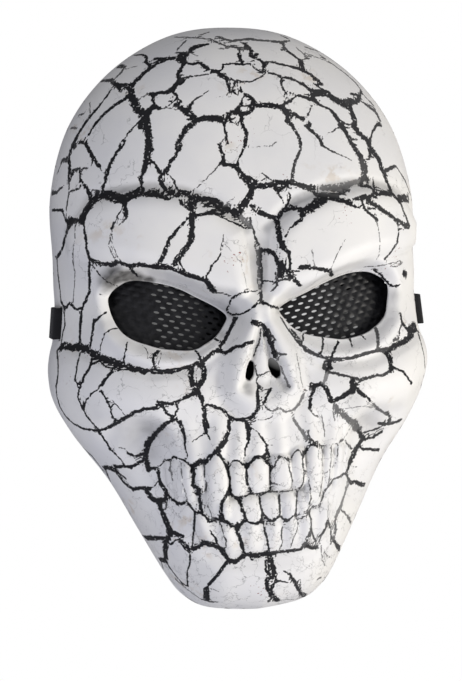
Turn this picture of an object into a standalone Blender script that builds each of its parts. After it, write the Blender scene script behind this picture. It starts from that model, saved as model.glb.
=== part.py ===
# Skull mask, lying face up on its rim.
# Frame: +Z out of the face, +Y to the crown, +X to the viewer's right, metres, rim plane at z = 0.
# Tables below are in millimetres and turned into metres at the end.
import math

import bmesh
import bpy
import numpy as np
from mathutils import Matrix, Vector
from mathutils.bvhtree import BVHTree

for old in list(bpy.data.objects):
    bpy.data.objects.remove(old, do_unlink=True)

MM = 0.001

# named sizes
DEPTH = 92.0          # rim plane to the plain front of the dome
SHOULDER = 3.9        # how squarely the front turns into the side walls
BULGE = 0.032         # how far the walls swell between rim and front
WALL = 2.1            # shell thickness
GAP = 0.35            # air between two pieces
ARCH_TOP = 37.0       # height of the rim above the floor at the temples
ARCH_MID = 2.0        # y of the highest point of that arch
ARCH_HALF = 66.0      # half length of the arch
SLOT_Z = 50.0         # middle height of the strap slots
SLOT_HIGH = 3.4
SLOT_Y = 1.8
SLOT_LONG = 16.6
BAND = 15.0           # strap width
THICK = 1.3           # strap thickness
TEMPLE_LEAN = 0.105   # how fast the temple wall turns inward up the face
SEWN = 19.0           # how far the strap is sewn to itself below the slot
BOW = 48.0            # how far its loose run bows towards the crown
BOW_LONG = 92.0       # and over what length of band
SHEET = 0.9           # eye sheet thickness
EYE_SLANT = math.radians(13.5)
HOLE_ACROSS = 7.6     # pitch of the coarse holes along a row
HOLE_UP = 3.9         # pitch of the rows, which are staggered
HOLE = 1.45           # half diagonal of a hole

# height up the face, half width of the rim there
RIM = [(142.5, 0.0), (138.0, 30.0), (121.0, 58.5), (95.0, 79.0), (62.0, 88.6), (30.0, 88.6), (5.0, 89.8),
       (-15.0, 91.8), (-33.0, 92.0), (-52.0, 83.0), (-76.0, 66.0), (-101.0, 52.5), (-123.0, 40.5), (-133.0, 33.0),
       (-139.0, 22.0), (-141.0, 0.0)]

# direction in degrees, roundness of the dome in that direction
ROUND = [(-180, 3.0), (-135, 3.5), (-112, 5.0), (-90, 7.0), (-68, 5.0), (-45, 3.5), (0, 3.0), (45, 2.4), (90, 2.0),
         (135, 2.4), (180, 3.0)]

# eye holes seen from the front, x and y
EYE_LEFT = [(-67.9, 11.9), (-67.0, 15.0), (-64.1, 18.3), (-58.9, 20.9), (-53.0, 21.2), (-43.0, 19.4), (-34.9, 16.8),
            (-26.8, 12.4), (-18.7, 7.9), (-13.8, 3.6), (-15.3, -0.1), (-19.6, -5.1), (-25.2, -8.6), (-31.7, -11.2),
            (-44.1, -10.3), (-51.8, -8.1), (-58.1, -5.6), (-63.0, -1.7), (-66.4, 4.9)]
EYE_RIGHT = [(11.5, 5.9), (17.1, 9.4), (27.3, 13.7), (36.1, 17.6), (45.0, 20.6), (51.3, 21.8), (57.6, 21.6),
             (63.3, 19.0), (66.9, 15.5), (67.3, 10.1), (65.5, 2.9), (63.3, -0.8), (58.4, -4.5), (52.0, -7.5),
             (41.5, -9.4), (33.3, -8.4), (23.6, -6.5), (17.2, -3.3), (13.8, 0.6)]
# the mean of both, for the socket around them
SOCKET = [(12.7, 4.6), (18.0, 8.7), (27.0, 13.1), (35.5, 17.2), (44.0, 20.1), (52.0, 21.6), (58.5, 21.2),
          (64.0, 18.6), (67.3, 14.0), (67.0, 8.5), (65.0, 1.5), (61.0, -3.0), (55.5, -6.6), (48.0, -9.0),
          (40.0, -10.3), (31.0, -10.0), (24.5, -7.8), (18.0, -3.8)]

# nostrils: x, y, half width, half height, lean in degrees
NOSTRILS = [(-6.1, -21.3, 2.3, 4.8, -13.0), (5.4, -20.7, 2.4, 5.1, 20.0)]

# raised brow plate on each side, x and y
PLATE = [(3.2, 15.0), (4.0, 30.0), (6.5, 43.0), (19.0, 54.5), (34.0, 60.0), (48.0, 62.5), (62.0, 62.5), (76.0, 59.0),
         (86.0, 46.0), (85.0, 33.0), (73.0, 29.5), (60.0, 28.5), (48.0, 25.5), (34.0, 19.5), (21.0, 13.8),
         (9.0, 10.5)]

# broad forms on both sides: points of (x, y, radius, height)
BROAD = {
    "nose_ring": [(2.5, 7.0, 10.0, 3.0), (7.0, -8.0, 10.0, 5.0), (11.0, -19.0, 10.0, 6.5), (12.5, -29.0, 10.0, 6.0),
                  (6.0, -36.0, 10.0, 5.0), (0.0, -37.0, 10.0, 4.5)],
    "cheekbone": [(84.0, -20.0, 15.0, 2.5), (68.0, -31.0, 18.0, 4.5), (48.0, -34.0, 18.0, 5.0),
                  (32.0, -34.0, 15.0, 3.0)],
    "cheek_hollow": [(66.0, -50.0, 12.0, -3.0), (55.0, -53.0, 16.0, -8.0), (49.0, -66.0, 13.0, -4.5),
                     (46.0, -84.0, 11.0, -2.0)],
    "upper_jaw": [(0.0, -58.0, 36.0, 3.0), (14.0, -72.0, 34.0, 3.5), (10.0, -92.0, 30.0, 3.0)],
    "chin": [(0.0, -123.0, 22.0, 4.5), (15.0, -122.0, 20.0, 4.0)],
    "under_lip": [(0.0, -109.5, 7.0, -2.6), (20.0, -108.0, 7.0, -2.4), (32.0, -101.0, 7.0, -1.5)],
    "valley": [(0.0, 46.0, 9.0, -1.0), (0.0, 30.0, 8.0, -2.5), (0.0, 14.0, 8.0, -2.0)],
    "temple": [(80.0, 8.0, 16.0, -2.0), (84.0, -4.0, 14.0, -1.5)],
}

# creases and small ridges on both sides, the same columns
FINE = {
    "lower_lid": [(69.0, -1.0, 6.0, 1.4), (60.0, -10.5, 6.5, 1.8), (45.0, -15.0, 6.5, 2.0), (30.0, -15.0, 6.5, 1.8),
                  (19.0, -9.0, 5.0, 1.2)],
    "lid_crease": [(86.0, -8.0, 4.0, -0.8), (73.0, -13.4, 4.0, -1.4), (51.0, -20.5, 4.0, -1.6),
                   (29.0, -20.0, 4.0, -1.6), (17.0, -10.0, 4.0, -1.0)],
    "nasal_crease": [(0.6, -1.0, 3.0, -1.6), (3.4, -11.0, 3.5, -3.4), (6.0, -20.0, 4.5, -4.2),
                     (9.5, -28.0, 4.0, -2.6)],
    "septum": [(0.0, -8.0, 3.5, 0.6), (0.0, -22.0, 4.5, 1.6), (0.0, -30.0, 4.5, 1.2)],
    "brow_groove": [(5.0, 44.5, 4.5, -1.2), (19.0, 56.5, 4.5, -1.5), (34.0, 62.0, 4.5, -1.4), (48.0, 64.5, 4.5, -1.2),
                    (76.0, 61.0, 4.5, -0.8)],
}

# teeth: middle x, half width, top y, bottom y, height, sideways shift of the foot
TEETH = [(-45.0, 2.2, -62.0, -76.0, 1.0, 0.6), (-40.5, 2.9, -61.5, -82.0, 1.4, 1.2),
         (-35.5, 2.9, -62.0, -83.0, 1.5, 1.2), (-30.5, 2.6, -62.5, -77.0, 1.5, 0.8),
         (-22.6, 4.9, -59.5, -89.5, 2.4, 1.0), (-13.4, 3.8, -62.5, -78.5, 1.9, 0.2),
         (-4.2, 5.2, -60.5, -77.6, 2.2, 0.0), (6.7, 5.2, -59.8, -77.0, 2.2, 0.2), (14.9, 3.2, -57.5, -76.6, 1.9, 0.0),
         (22.2, 4.2, -56.0, -86.5, 2.3, -0.6), (29.0, 2.8, -57.0, -82.0, 1.5, -1.0), (34.6, 2.8, -57.0, -78.0, 1.4, -1.4),
         (39.8, 2.6, -58.0, -76.0, 1.2, -1.4),
         (-16.2, 5.2, -79.8, -91.8, 1.8, 1.2), (-7.6, 4.9, -78.6, -91.8, 1.9, 1.4), (1.4, 4.6, -78.2, -91.4, 1.9, 1.0),
         (9.6, 3.8, -77.8, -91.2, 1.8, 0.6), (16.4, 3.2, -77.6, -90.6, 1.6, -0.4)]

# root ridges over and under the teeth: x, y of one end, x, y of the other, radius, height
ROOTS = [(-22.6, -58.0, -21.0, -42.0, 5.0, 1.3), (-13.4, -60.0, -12.0, -45.0, 4.0, 1.0),
         (-4.2, -59.0, -3.5, -43.0, 4.5, 1.0), (6.7, -58.0, 6.0, -43.0, 4.5, 1.0), (22.2, -55.0, 21.0, -42.0, 5.0, 1.3),
         (-33.0, -60.0, -35.0, -46.0, 5.0, 1.0), (33.0, -56.0, 35.0, -44.0, 5.0, 1.0),
         (-30.0, -88.0, -27.0, -100.0, 4.5, 1.2), (-19.0, -94.0, -17.0, -104.0, 4.0, 1.2),
         (-8.0, -94.0, -7.0, -105.0, 5.0, 1.3), (2.5, -94.0, 2.5, -105.0, 4.0, 1.2), (10.5, -93.5, 11.0, -104.0, 4.0, 1.2),
         (18.5, -92.5, 19.0, -102.0, 4.0, 1.2), (28.0, -88.0, 27.0, -100.0, 4.5, 1.2)]


def smooth(t):
    t = np.clip(t, 0.0, 1.0)
    return t * t * (3.0 - 2.0 * t)


def curve_through(points, steps):
    """A smooth curve through a table of points, mirrored about the first column's axis at both ends."""
    p = np.array(points, float)
    out = []
    for i in range(len(p) - 1):
        a = p[i - 1] if i else p[1] * [1, -1]
        d = p[i + 2] if i + 2 < len(p) else p[-2] * [1, -1]
        b, c = p[i], p[i + 1]
        for k in range(steps):
            t = k / steps
            out.append(0.5 * (2 * b + (c - a) * t + (2 * a - 5 * b + 4 * c - d) * t * t
                              + (3 * b - a - 3 * c + d) * t ** 3))
    out.append(p[-1])
    return np.array(out)


rim_curve = curve_through(RIM, 24)
rim_angle = np.arctan2(rim_curve[:, 0], rim_curve[:, 1])
order = np.argsort(rim_angle)
rim_angle = rim_angle[order]
rim_radius = np.hypot(rim_curve[:, 0], rim_curve[:, 1])[order]


def reach(angle):
    """Distance from the middle to the rim in a direction."""
    folded = np.where(np.abs(angle) <= np.pi / 2, angle, np.sign(angle) * np.pi - angle)
    return np.interp(folded, rim_angle, rim_radius)


def roundness(angle):
    return np.interp(np.degrees(angle), [a for a, _ in ROUND], [r for _, r in ROUND])


def dome(s, angle):
    """A point of the plain dome: s runs from 0 in the middle to 1 at the rim."""
    z = DEPTH * np.clip(1.0 - s ** roundness(angle), 0.0, 1.0) ** (1.0 / SHOULDER)
    swell = 1.0 + BULGE * np.sin(np.pi * z / DEPTH)
    r = reach(angle) * s * swell
    return np.stack([r * np.cos(angle), r * np.sin(angle), z], axis=-1)


def bump(x, y, rows):
    """Height of a stroke with rounded section along a row of (x, y, radius, height)."""
    best = np.zeros(x.shape)
    for (ax, ay, ar, ah), (bx, by, br, bh) in zip(rows[:-1], rows[1:]):
        ux, uy = bx - ax, by - ay
        t = np.clip(((x - ax) * ux + (y - ay) * uy) / (ux * ux + uy * uy), 0.0, 1.0)
        d = np.hypot(x - ax - t * ux, y - ay - t * uy)
        h = (ah + (bh - ah) * t) * np.clip(1.0 - (d / (ar + (br - ar) * t)) ** 2, 0.0, 1.0) ** 2
        best = np.where(np.abs(h) > np.abs(best), h, best)
    return best


def inside_distance(x, y, polygon):
    """Distance to a closed outline, positive inside it."""
    far = np.full(x.shape, 1e9)
    inside = np.zeros(x.shape, bool)
    ring = list(polygon)
    for (ax, ay), (bx, by) in zip(ring, ring[1:] + ring[:1]):
        ux, uy = bx - ax, by - ay
        t = np.clip(((x - ax) * ux + (y - ay) * uy) / (ux * ux + uy * uy), 0.0, 1.0)
        far = np.minimum(far, np.hypot(x - ax - t * ux, y - ay - t * uy))
        crosses = ((ay > y) != (by > y)) & (x < ux * (y - ay) / (uy if uy else 1e-9) + ax)
        inside ^= crosses
    return np.where(inside, far, -far)


def broad_relief(x, y):
    """The large forms, which the inside of the shell follows too."""
    m = np.sqrt(x * x + 1.0)
    h = sum(bump(m, y, rows) for rows in BROAD.values())
    t = np.clip(inside_distance(m, y, PLATE) / 10.0, 0.0, 1.0)
    h = h + 5.2 * (1.0 - (1.0 - t) ** 2.2)
    d = -inside_distance(m, y, SOCKET)
    deep = 4.5 + 10.5 * smooth((y + 11.0) / 23.0)
    deep = deep * (1.0 - 0.22 * smooth((m - 45.0) / 25.0))
    width = 7.0 + 3.0 * smooth((24.0 - m) / 12.0)
    fall = smooth(1.0 - np.clip(d, 0.0, None) / width)
    return h * (1.0 - fall) - deep * fall


def fine_relief(x, y):
    """Creases, lids, teeth and root ridges, on the outside only."""
    m = np.abs(x)
    h = sum(bump(m, y, rows) for rows in FINE.values())
    for cx, half, top, bottom, height, shift in TEETH:
        mid, tall = (top + bottom) / 2.0, (top - bottom) / 2.0
        lean = cx + shift * (mid - y) / tall
        q = (np.abs(x - lean) / half) ** 2.6 + (np.abs(y - mid) / tall) ** 3.5
        h = h + (height + 0.5) * np.clip(1.0 - q, 0.0, 1.0) ** 0.55
    row = [(-48.0, -70.0, 13.0, -0.9), (-20.0, -76.0, 18.0, -0.9), (20.0, -75.0, 18.0, -0.9), (43.0, -68.0, 13.0, -0.9)]
    h = h + bump(x, y, row)
    for ax, ay, bx, by, r, height in ROOTS:
        h = h + bump(x, y, [(ax, ay, r, height), (bx, by, r, height * 0.5)])
    return h


def stops(sections):
    """Grid lines from rows of (start, end, count)."""
    out = []
    for a, b, n in sections:
        out += [a + (b - a) * k / n for k in range(n)]
    out.append(sections[-1][1])
    return np.array(out)


# grid lines as signed distance along the surface, in parts of the whole way to the rim
COLS = stops([(-1.0, -0.36, 9), (-0.36, 0.36, 28), (0.36, 1.0, 9)])
ROWS = stops([(-1.0, -0.56, 8), (-0.56, 0.12, 38), (0.12, 1.0, 16)])
COLS_IN = stops([(-1.0, -0.40, 6), (-0.40, 0.40, 20), (0.40, 1.0, 6)])
ROWS_IN = stops([(-1.0, -0.50, 6), (-0.50, 0.26, 26), (0.26, 1.0, 9)])


def surface(cols, rows, inset, share):
    """Grid of points on the dome with its relief, pushed in by inset."""
    u, v = np.meshgrid(cols, rows)
    dx, dy = u * np.sqrt(1.0 - v * v / 2.0), v * np.sqrt(1.0 - u * u / 2.0)
    rho, angle = np.hypot(dx, dy), np.arctan2(dy, dx)
    steps = 1.0 - (1.0 - np.linspace(0.0, 1.0, 240)) ** 3
    s = np.zeros(rho.shape)
    for i in range(rho.shape[0]):
        for j in range(rho.shape[1]):
            line = dome(steps, np.full(steps.shape, angle[i, j]))
            run = np.concatenate([[0.0], np.cumsum(np.linalg.norm(np.diff(line, axis=0), axis=1))])
            s[i, j] = np.interp(min(rho[i, j], 1.0) * run[-1], run, steps)
    p = dome(s, angle)
    e = 1e-3
    near = np.clip(s, 0.02, 0.9995)
    along = dome(near + e * (1 - near), angle) - dome(near, angle)
    across = dome(near, angle + e) - dome(near, angle - e)
    n = np.cross(along, across)
    n = n / np.maximum(np.linalg.norm(n, axis=-1, keepdims=True), 1e-12)
    n[s < 0.02] = (0.0, 0.0, 1.0)
    h = broad_relief(p[..., 0], p[..., 1])
    h = h + share * fine_relief(p[..., 0], p[..., 1])
    h = h * smooth(p[..., 2] / 30.0) - inset
    q = p + n * h[..., None]
    rim = p[..., 2] < 1e-6
    q[rim, 2] = 0.0
    return q


parts = bpy.data.collections.new("skull_mask")
cutters = bpy.data.collections.new("cutters")
for group in (parts, cutters):
    bpy.context.scene.collection.children.link(group)


def finish(name, bm, group, scale=MM):
    """Turn a bmesh in millimetres into an object with its faces pointing out."""
    bmesh.ops.scale(bm, vec=(scale, scale, scale), verts=bm.verts)
    bmesh.ops.recalc_face_normals(bm, faces=bm.faces)
    if bm.calc_volume(signed=True) < 0.0:
        bmesh.ops.reverse_faces(bm, faces=bm.faces)
    mesh = bpy.data.meshes.new(name)
    bm.to_mesh(mesh)
    bm.free()
    obj = bpy.data.objects.new(name, mesh)
    group.objects.link(obj)
    if group is cutters:
        obj.hide_render = True
        obj.display_type = "WIRE"
    return obj


def closed_dome(name, grid, floor_z, group):
    """A grid bent into the dome and closed by walls down to a flat floor."""
    rows, cols = grid.shape[:2]
    bm = bmesh.new()
    bmesh.ops.create_grid(bm, x_segments=cols - 1, y_segments=rows - 1, size=1.0)
    bm.verts.ensure_lookup_table()
    for vert, point in zip(bm.verts, grid.reshape(-1, 3)):
        vert.co = point
    edges = [e for e in bm.edges if e.is_boundary]
    if floor_z < 0.0:
        made = bmesh.ops.extrude_edge_only(bm, edges=edges)["geom"]
        for vert in made:
            if isinstance(vert, bmesh.types.BMVert):
                vert.co.z = floor_z
        edges = [e for e in bm.edges if e.is_boundary]
    bmesh.ops.contextual_create(bm, geom=edges)
    return finish(name, bm, group)


def prism(name, outline, z0, z1, group=cutters):
    """An outline in the x-y plane, extruded between two heights."""
    bm = bmesh.new()
    face = bm.faces.new([bm.verts.new((x, y, z0)) for x, y in outline])
    top = bmesh.ops.extrude_face_region(bm, geom=[face])["geom"]
    bmesh.ops.translate(bm, vec=(0.0, 0.0, z1 - z0), verts=[v for v in top if isinstance(v, bmesh.types.BMVert)])
    return finish(name, bm, group)


def cross_bar(name, outline, reach_x):
    """An outline in the y-z plane, extruded from side to side."""
    bm = bmesh.new()
    face = bm.faces.new([bm.verts.new((-reach_x, y, z)) for y, z in outline])
    far = bmesh.ops.extrude_face_region(bm, geom=[face])["geom"]
    bmesh.ops.translate(bm, vec=(2.0 * reach_x, 0.0, 0.0), verts=[v for v in far if isinstance(v, bmesh.types.BMVert)])
    return finish(name, bm, cutters)


def cut(target, cutter, how="DIFFERENCE"):
    mod = target.modifiers.new(how.lower(), "BOOLEAN")
    mod.operation = how
    mod.solver = "EXACT"
    mod.object = cutter
    bpy.context.view_layer.objects.active = target
    bpy.ops.object.modifier_apply(modifier=mod.name)
    bpy.data.objects.remove(cutter, do_unlink=True)


def paint(obj, name, colour, roughness):
    """Each piece has its own material and smooth shading with its edges kept."""
    mat = bpy.data.materials.new(name)
    mat.use_nodes = True
    shader = mat.node_tree.nodes["Principled BSDF"]
    shader.inputs["Base Color"].default_value = (*colour, 1.0)
    shader.inputs["Roughness"].default_value = roughness
    shader.inputs["Metallic"].default_value = 0.0
    obj.data.materials.clear()
    obj.data.materials.append(mat)
    obj.data.shade_smooth()
    obj.data.set_sharp_from_angle(angle=math.radians(50.0))


def nostril_outline(row, count=12):
    cx, cy, hw, hh, lean = row
    a = math.radians(lean)
    out = []
    for k in range(count):
        t = 2 * math.pi * k / count
        x, y = hw * math.cos(t), hh * math.sin(t)
        out.append((cx + x * math.cos(a) - y * math.sin(a), cy + x * math.sin(a) + y * math.cos(a)))
    return out


def tree_of(grid):
    rows, cols = grid.shape[:2]
    tris = []
    for i in range(rows - 1):
        for j in range(cols - 1):
            a, b, c, d = i * cols + j, i * cols + j + 1, (i + 1) * cols + j + 1, (i + 1) * cols + j
            tris += [(a, b, c), (a, c, d)]
    return BVHTree.FromPolygons([Vector(p) for p in grid.reshape(-1, 3)], tris), tris


def even_wall(outer, inner, thin, thick):
    """Move the inner grid until the wall lies between the two thicknesses wherever it can."""
    inner = inner.copy()
    flat = inner.reshape(-1, 3)
    skin, _ = tree_of(outer)
    points = [Vector(p) for p in outer.reshape(-1, 3) if p[2] > 4.0]
    for turn in range(40):
        for k in range(len(flat)):
            if flat[k, 2] < 4.0:
                continue
            spot, normal, _, gap = skin.find_nearest(Vector(flat[k]))
            if (Vector(flat[k]) - spot).dot(normal) > 0.0:
                gap = -gap
            if gap > thick and turn < 20:
                flat[k] += np.array(normal) * (gap - thick) * 0.5
            if gap < thin:
                flat[k] -= np.array(normal) * (thin - gap) * 0.7
        core, tris = tree_of(inner)
        worst = 99.0
        for p in points:
            spot, normal, face, gap = core.find_nearest(p)
            if (p - spot).dot(normal) < 0.0:
                gap = -gap
            worst = min(worst, gap)
            if gap < thin:
                for v in tris[face]:
                    if flat[v, 2] > 4.0:
                        flat[v] -= np.array(normal) * (thin - gap) * 0.45
        if turn > 20 and worst > thin * 0.93:
            break
    return inner


# the shell
outer = surface(COLS, ROWS, 0.0, 1.0)
inner = even_wall(outer, surface(COLS_IN, ROWS_IN, WALL, 0.5), 1.5, 2.8)
ceiling, _ = tree_of(inner)
shell = closed_dome("mask_shell", outer, 0.0, parts)
cut(shell, closed_dome("core", inner, -12.0, cutters))

for name, outline in (("eye_left_cut", EYE_LEFT), ("eye_right_cut", EYE_RIGHT)):
    cut(shell, prism(name, outline, 40.0, 130.0))
for k, row in enumerate(NOSTRILS):
    cut(shell, prism("nostril_cut_%d" % k, nostril_outline(row), 60.0, 130.0))

# arch of the rim at the temples: one long bar through both sides
arch = [(ARCH_MID + ARCH_HALF * t, ARCH_TOP * (1.0 - t * t) ** 2) for t in np.linspace(-1.0, 1.0, 19)]
arch = [(arch[0][0], -8.0)] + arch[1:-1] + [(arch[-1][0], -8.0)]
cut(shell, cross_bar("arch_cut", arch, 130.0))

y0, y1 = SLOT_Y - SLOT_LONG / 2, SLOT_Y + SLOT_LONG / 2
z0, z1 = SLOT_Z - SLOT_HIGH / 2, SLOT_Z + SLOT_HIGH / 2
cut(shell, cross_bar("slot_cut", [(y0, z0), (y1, z0), (y1, z1), (y0, z1)], 130.0))


# the eye sheets
def eye_sheet(name, side, outline):
    """A curved sheet behind one eye hole, pierced in staggered rows."""
    x = np.array([p[0] for p in outline])
    y = np.array([p[1] for p in outline])
    cx, cy = (x.min() + x.max()) / 2.0, (y.min() + y.max()) / 2.0
    # height of the shell's inner face around the hole, as a curved plane lying behind all of it
    px, py = np.meshgrid(np.linspace(x.min() - 6, x.max() + 6, 61), np.linspace(y.min() - 6, y.max() + 6, 41))
    d = inside_distance(px, py, outline)
    near = (d > -5.2) & (d < 0.2)
    px, py = px[near], py[near]
    pz = np.array([inner_height(a, b) for a, b in zip(px, py)])
    terms = np.stack([np.ones(px.shape), px - cx, py - cy, (px - cx) ** 2], axis=-1)
    fit = np.linalg.lstsq(terms, pz, rcond=None)[0]
    fit[0] += (pz - terms @ fit).min() - GAP

    def height(a, b):
        return fit[0] + fit[1] * (a - cx) + fit[2] * (b - cy) + fit[3] * (a - cx) ** 2

    # the sheet's outline is the hole's, pushed out by 5 mm
    grown = []
    count = len(outline)
    for k in range(count):
        ax, ay = outline[k - 1]
        bx, by = outline[(k + 1) % count]
        tx, ty = bx - ax, by - ay
        length = math.hypot(tx, ty)
        nx, ny = ty / length, -tx / length
        if inside_distance(np.array([outline[k][0] + nx]), np.array([outline[k][1] + ny]), outline)[0] > 0:
            nx, ny = -nx, -ny
        grown.append((outline[k][0] + 4.8 * nx, outline[k][1] + 4.8 * ny))
    slant = side * EYE_SLANT
    turn = np.array([[math.cos(slant), -math.sin(slant)], [math.sin(slant), math.cos(slant)]])
    obj = prism(name, grown, -4.0, 4.0, parts)
    bm = bmesh.new()
    for r in range(-6, 7):
        for c in range(-7, 8):
            gx, gy = turn @ np.array([(c + (0.5 if r % 2 else 0.0)) * HOLE_ACROSS, r * HOLE_UP]) + (cx, cy)
            if inside_distance(np.array([gx]), np.array([gy]), outline)[0] < 1.2:
                continue
            corners = [turn @ np.array(q) + (gx, gy) for q in ((HOLE, 0), (0, HOLE), (-HOLE, 0), (0, -HOLE))]
            face = bm.faces.new([bm.verts.new((x, y, -10.0)) for x, y in corners])
            top = bmesh.ops.extrude_face_region(bm, geom=[face])["geom"]
            bmesh.ops.translate(bm, vec=(0, 0, 20.0), verts=[v for v in top if isinstance(v, bmesh.types.BMVert)])
    cut(obj, finish("holes", bm, cutters))
    for v in obj.data.vertices:
        a, b = v.co.x / MM, v.co.y / MM
        top = height(a, b)
        v.co.z = (top if v.co.z > 0 else top - SHEET) * MM
    return obj


def inner_height(a, b):
    """Height of the shell's inner face over a point."""
    hit = ceiling.ray_cast(Vector((a, b, 5.0)), Vector((0.0, 0.0, 1.0)))[0]
    return hit.z if hit is not None else DEPTH


sheet_left = eye_sheet("eye_mesh_left", -1.0, EYE_LEFT)
sheet_right = eye_sheet("eye_mesh_right", 1.0, EYE_RIGHT)


# the strap: a band of constant width along a path through (x, y, z)
def ribbon(name, path, width, thick, group=cutters):
    """The band leans with the temple wall, so its upper edge lies a little further in, and where it runs
    aslant its cut across is longer, so that it keeps its width."""
    p = np.array(path, float)
    t = np.gradient(p, axis=0)
    flat = np.hypot(t[:, 0], t[:, 2])
    face = np.stack([-t[:, 2] / flat, 0.0 * flat, t[:, 0] / flat], axis=-1)
    slant = np.linalg.norm(t, axis=1) / flat
    bm = bmesh.new()
    rings = []
    for spot, n, longer in zip(p, face, slant):
        ring = []
        for side, edge in ((-1, -1), (1, -1), (1, 1), (-1, 1)):
            v = spot + side * n * thick / 2 + np.array([0.0, edge * width / 2 * longer, 0.0])
            v[0] -= TEMPLE_LEAN * (v[1] - spot[1]) * min(max(v[2], 0.0) / 30.0, 1.0) * (1.0 if v[0] > 0 else -1.0)
            ring.append(bm.verts.new(v))
        rings.append(ring)
    for a, b in zip(rings[:-1], rings[1:]):
        for k in range(4):
            bm.faces.new((a[k], a[(k + 1) % 4], b[(k + 1) % 4], b[k]))
    bm.faces.new(rings[0])
    bm.faces.new(rings[-1])
    return finish(name, bm, group)


def wall_x(z, inset):
    """Outer face of the temple wall at a height, on the right side, pushed in by inset."""
    ss = np.linspace(0.7, 1.0, 600)
    line = dome(ss, np.full(ss.shape, math.atan2(SLOT_Y, 90.0)))
    x = np.interp(-z, -line[::-1, 2][::-1], line[:, 0])
    h = broad_relief(np.array([x]), np.array([SLOT_Y]))[0] * smooth(np.array([z / 30.0]))[0]
    return float(x + h - inset)


def rounded(points, radius, steps=5):
    """Corners of a path replaced by arcs."""
    p = [np.array(q, float) for q in points]
    out = [p[0]]
    for a, b, c in zip(p[:-2], p[1:-1], p[2:]):
        u, v = (a - b) / np.linalg.norm(a - b), (c - b) / np.linalg.norm(c - b)
        half = math.acos(max(-1.0, min(1.0, float(u @ v)))) / 2
        cut_back = min(radius / math.tan(half), 0.48 * np.linalg.norm(a - b), 0.48 * np.linalg.norm(c - b))
        r = cut_back * math.tan(half)
        mid = b + (u + v) / np.linalg.norm(u + v) * r / math.sin(half)
        a0 = b + u * cut_back - mid
        a1 = b + v * cut_back - mid
        for k in range(steps + 1):
            w = k / steps
            q = a0 * (1 - w) + a1 * w
            out.append(mid + q / np.linalg.norm(q) * r)
    out.append(p[-1])
    return out


LAY = THICK / 2 + 0.02
inside_x = wall_x(SLOT_Z, WALL + 0.9 + GAP + THICK / 2)
outside_x = wall_x(SLOT_Z - 8.0, -(GAP + THICK / 2 + 0.3))
bar_low = ARCH_TOP - GAP - THICK / 2 - 1.1
down = [(0.0, LAY + 1.6), (30.0, LAY), (inside_x - 14.0, LAY), (inside_x - 3.5, 13.0), (inside_x - 1.6, SLOT_Z - 20.0),
        (inside_x, SLOT_Z)]
wrap = [(inside_x - 0.3, SLOT_Z - 9.0), (inside_x, SLOT_Z), (outside_x, SLOT_Z), (outside_x + 0.8, bar_low),
        (inside_x - 0.2, bar_low - 0.6), (inside_x - 1.9, bar_low - 6.0)]


def bowed(points):
    """The loose run bows towards the crown, the more the further it is from its sewn end."""
    p = [np.array(points[0])]
    for b in points[1:]:
        far = math.dist(p[-1], b)
        count = round(far / 8.0 + 0.45)
        p += [p[-1] + (np.array(b) - p[-1]) * k / count for k in range(1, count + 1)] if count else []
    p = np.array(p)
    way = np.concatenate([np.cumsum(np.linalg.norm(np.diff(p, axis=0), axis=1)[::-1])[::-1], [0.0]])
    y = SLOT_Y + BOW * smooth((way - SEWN) / BOW_LONG)
    return [(x, b, z) for (x, z), b in zip(p, y)]


half = bowed(rounded(down, 10.0))
run = [(-x, y, z) for x, y, z in half[:0:-1]] + half
strap = ribbon("strap", run, BAND, THICK, parts)
for side in (-1.0, 1.0):
    path = [(side * x, SLOT_Y, z) for x, z in rounded(wrap, 1.5, 4)]
    cut(strap, ribbon("wrap", path, BAND - 0.6, THICK + 0.1), "UNION")

# the origin lies under the middle of the whole outline
ys = [v.co.y for v in shell.data.vertices]
middle = Matrix.Translation((0.0, -(min(ys) + max(ys)) / 2.0, 0.0))
for obj in parts.objects:
    obj.data.transform(middle)

paint(shell, "shell_paint", (0.78, 0.77, 0.76), 0.38)
paint(sheet_left, "mesh_black", (0.03, 0.03, 0.032), 0.45)
paint(sheet_right, "mesh_black", (0.03, 0.03, 0.032), 0.45)
paint(strap, "strap_black", (0.015, 0.015, 0.016), 0.85)
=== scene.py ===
# %% [markdown]
# # A skull mask with a crackled finish
#
# The real object is a hard moulded shell, painted off-white and crackled in black, with two sheets of black
# perforated plastic behind the eye holes and one elastic strap. It lies face up on its rim. The solid part
# is loaded as a fixed frame, and the finer pieces made here take the place of its four plain ones.

# %% The frame
import math

import bmesh
import bpy
import numpy as np
from mathutils import Matrix, Vector
from mathutils.bvhtree import BVHTree
from mathutils.kdtree import KDTree


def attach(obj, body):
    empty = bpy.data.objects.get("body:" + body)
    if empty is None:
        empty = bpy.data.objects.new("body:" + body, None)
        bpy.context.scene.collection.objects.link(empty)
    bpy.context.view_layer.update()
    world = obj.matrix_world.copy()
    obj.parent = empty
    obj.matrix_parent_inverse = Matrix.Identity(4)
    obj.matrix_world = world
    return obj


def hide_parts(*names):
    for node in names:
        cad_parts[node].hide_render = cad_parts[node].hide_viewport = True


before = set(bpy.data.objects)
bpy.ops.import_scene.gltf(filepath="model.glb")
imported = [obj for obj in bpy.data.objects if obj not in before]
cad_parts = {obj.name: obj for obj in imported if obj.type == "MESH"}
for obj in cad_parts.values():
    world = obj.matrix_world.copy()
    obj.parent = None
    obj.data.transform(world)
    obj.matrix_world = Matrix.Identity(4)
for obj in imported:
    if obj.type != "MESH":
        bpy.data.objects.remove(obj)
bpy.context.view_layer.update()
scene = bpy.context.scene
MM = 0.001

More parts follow.
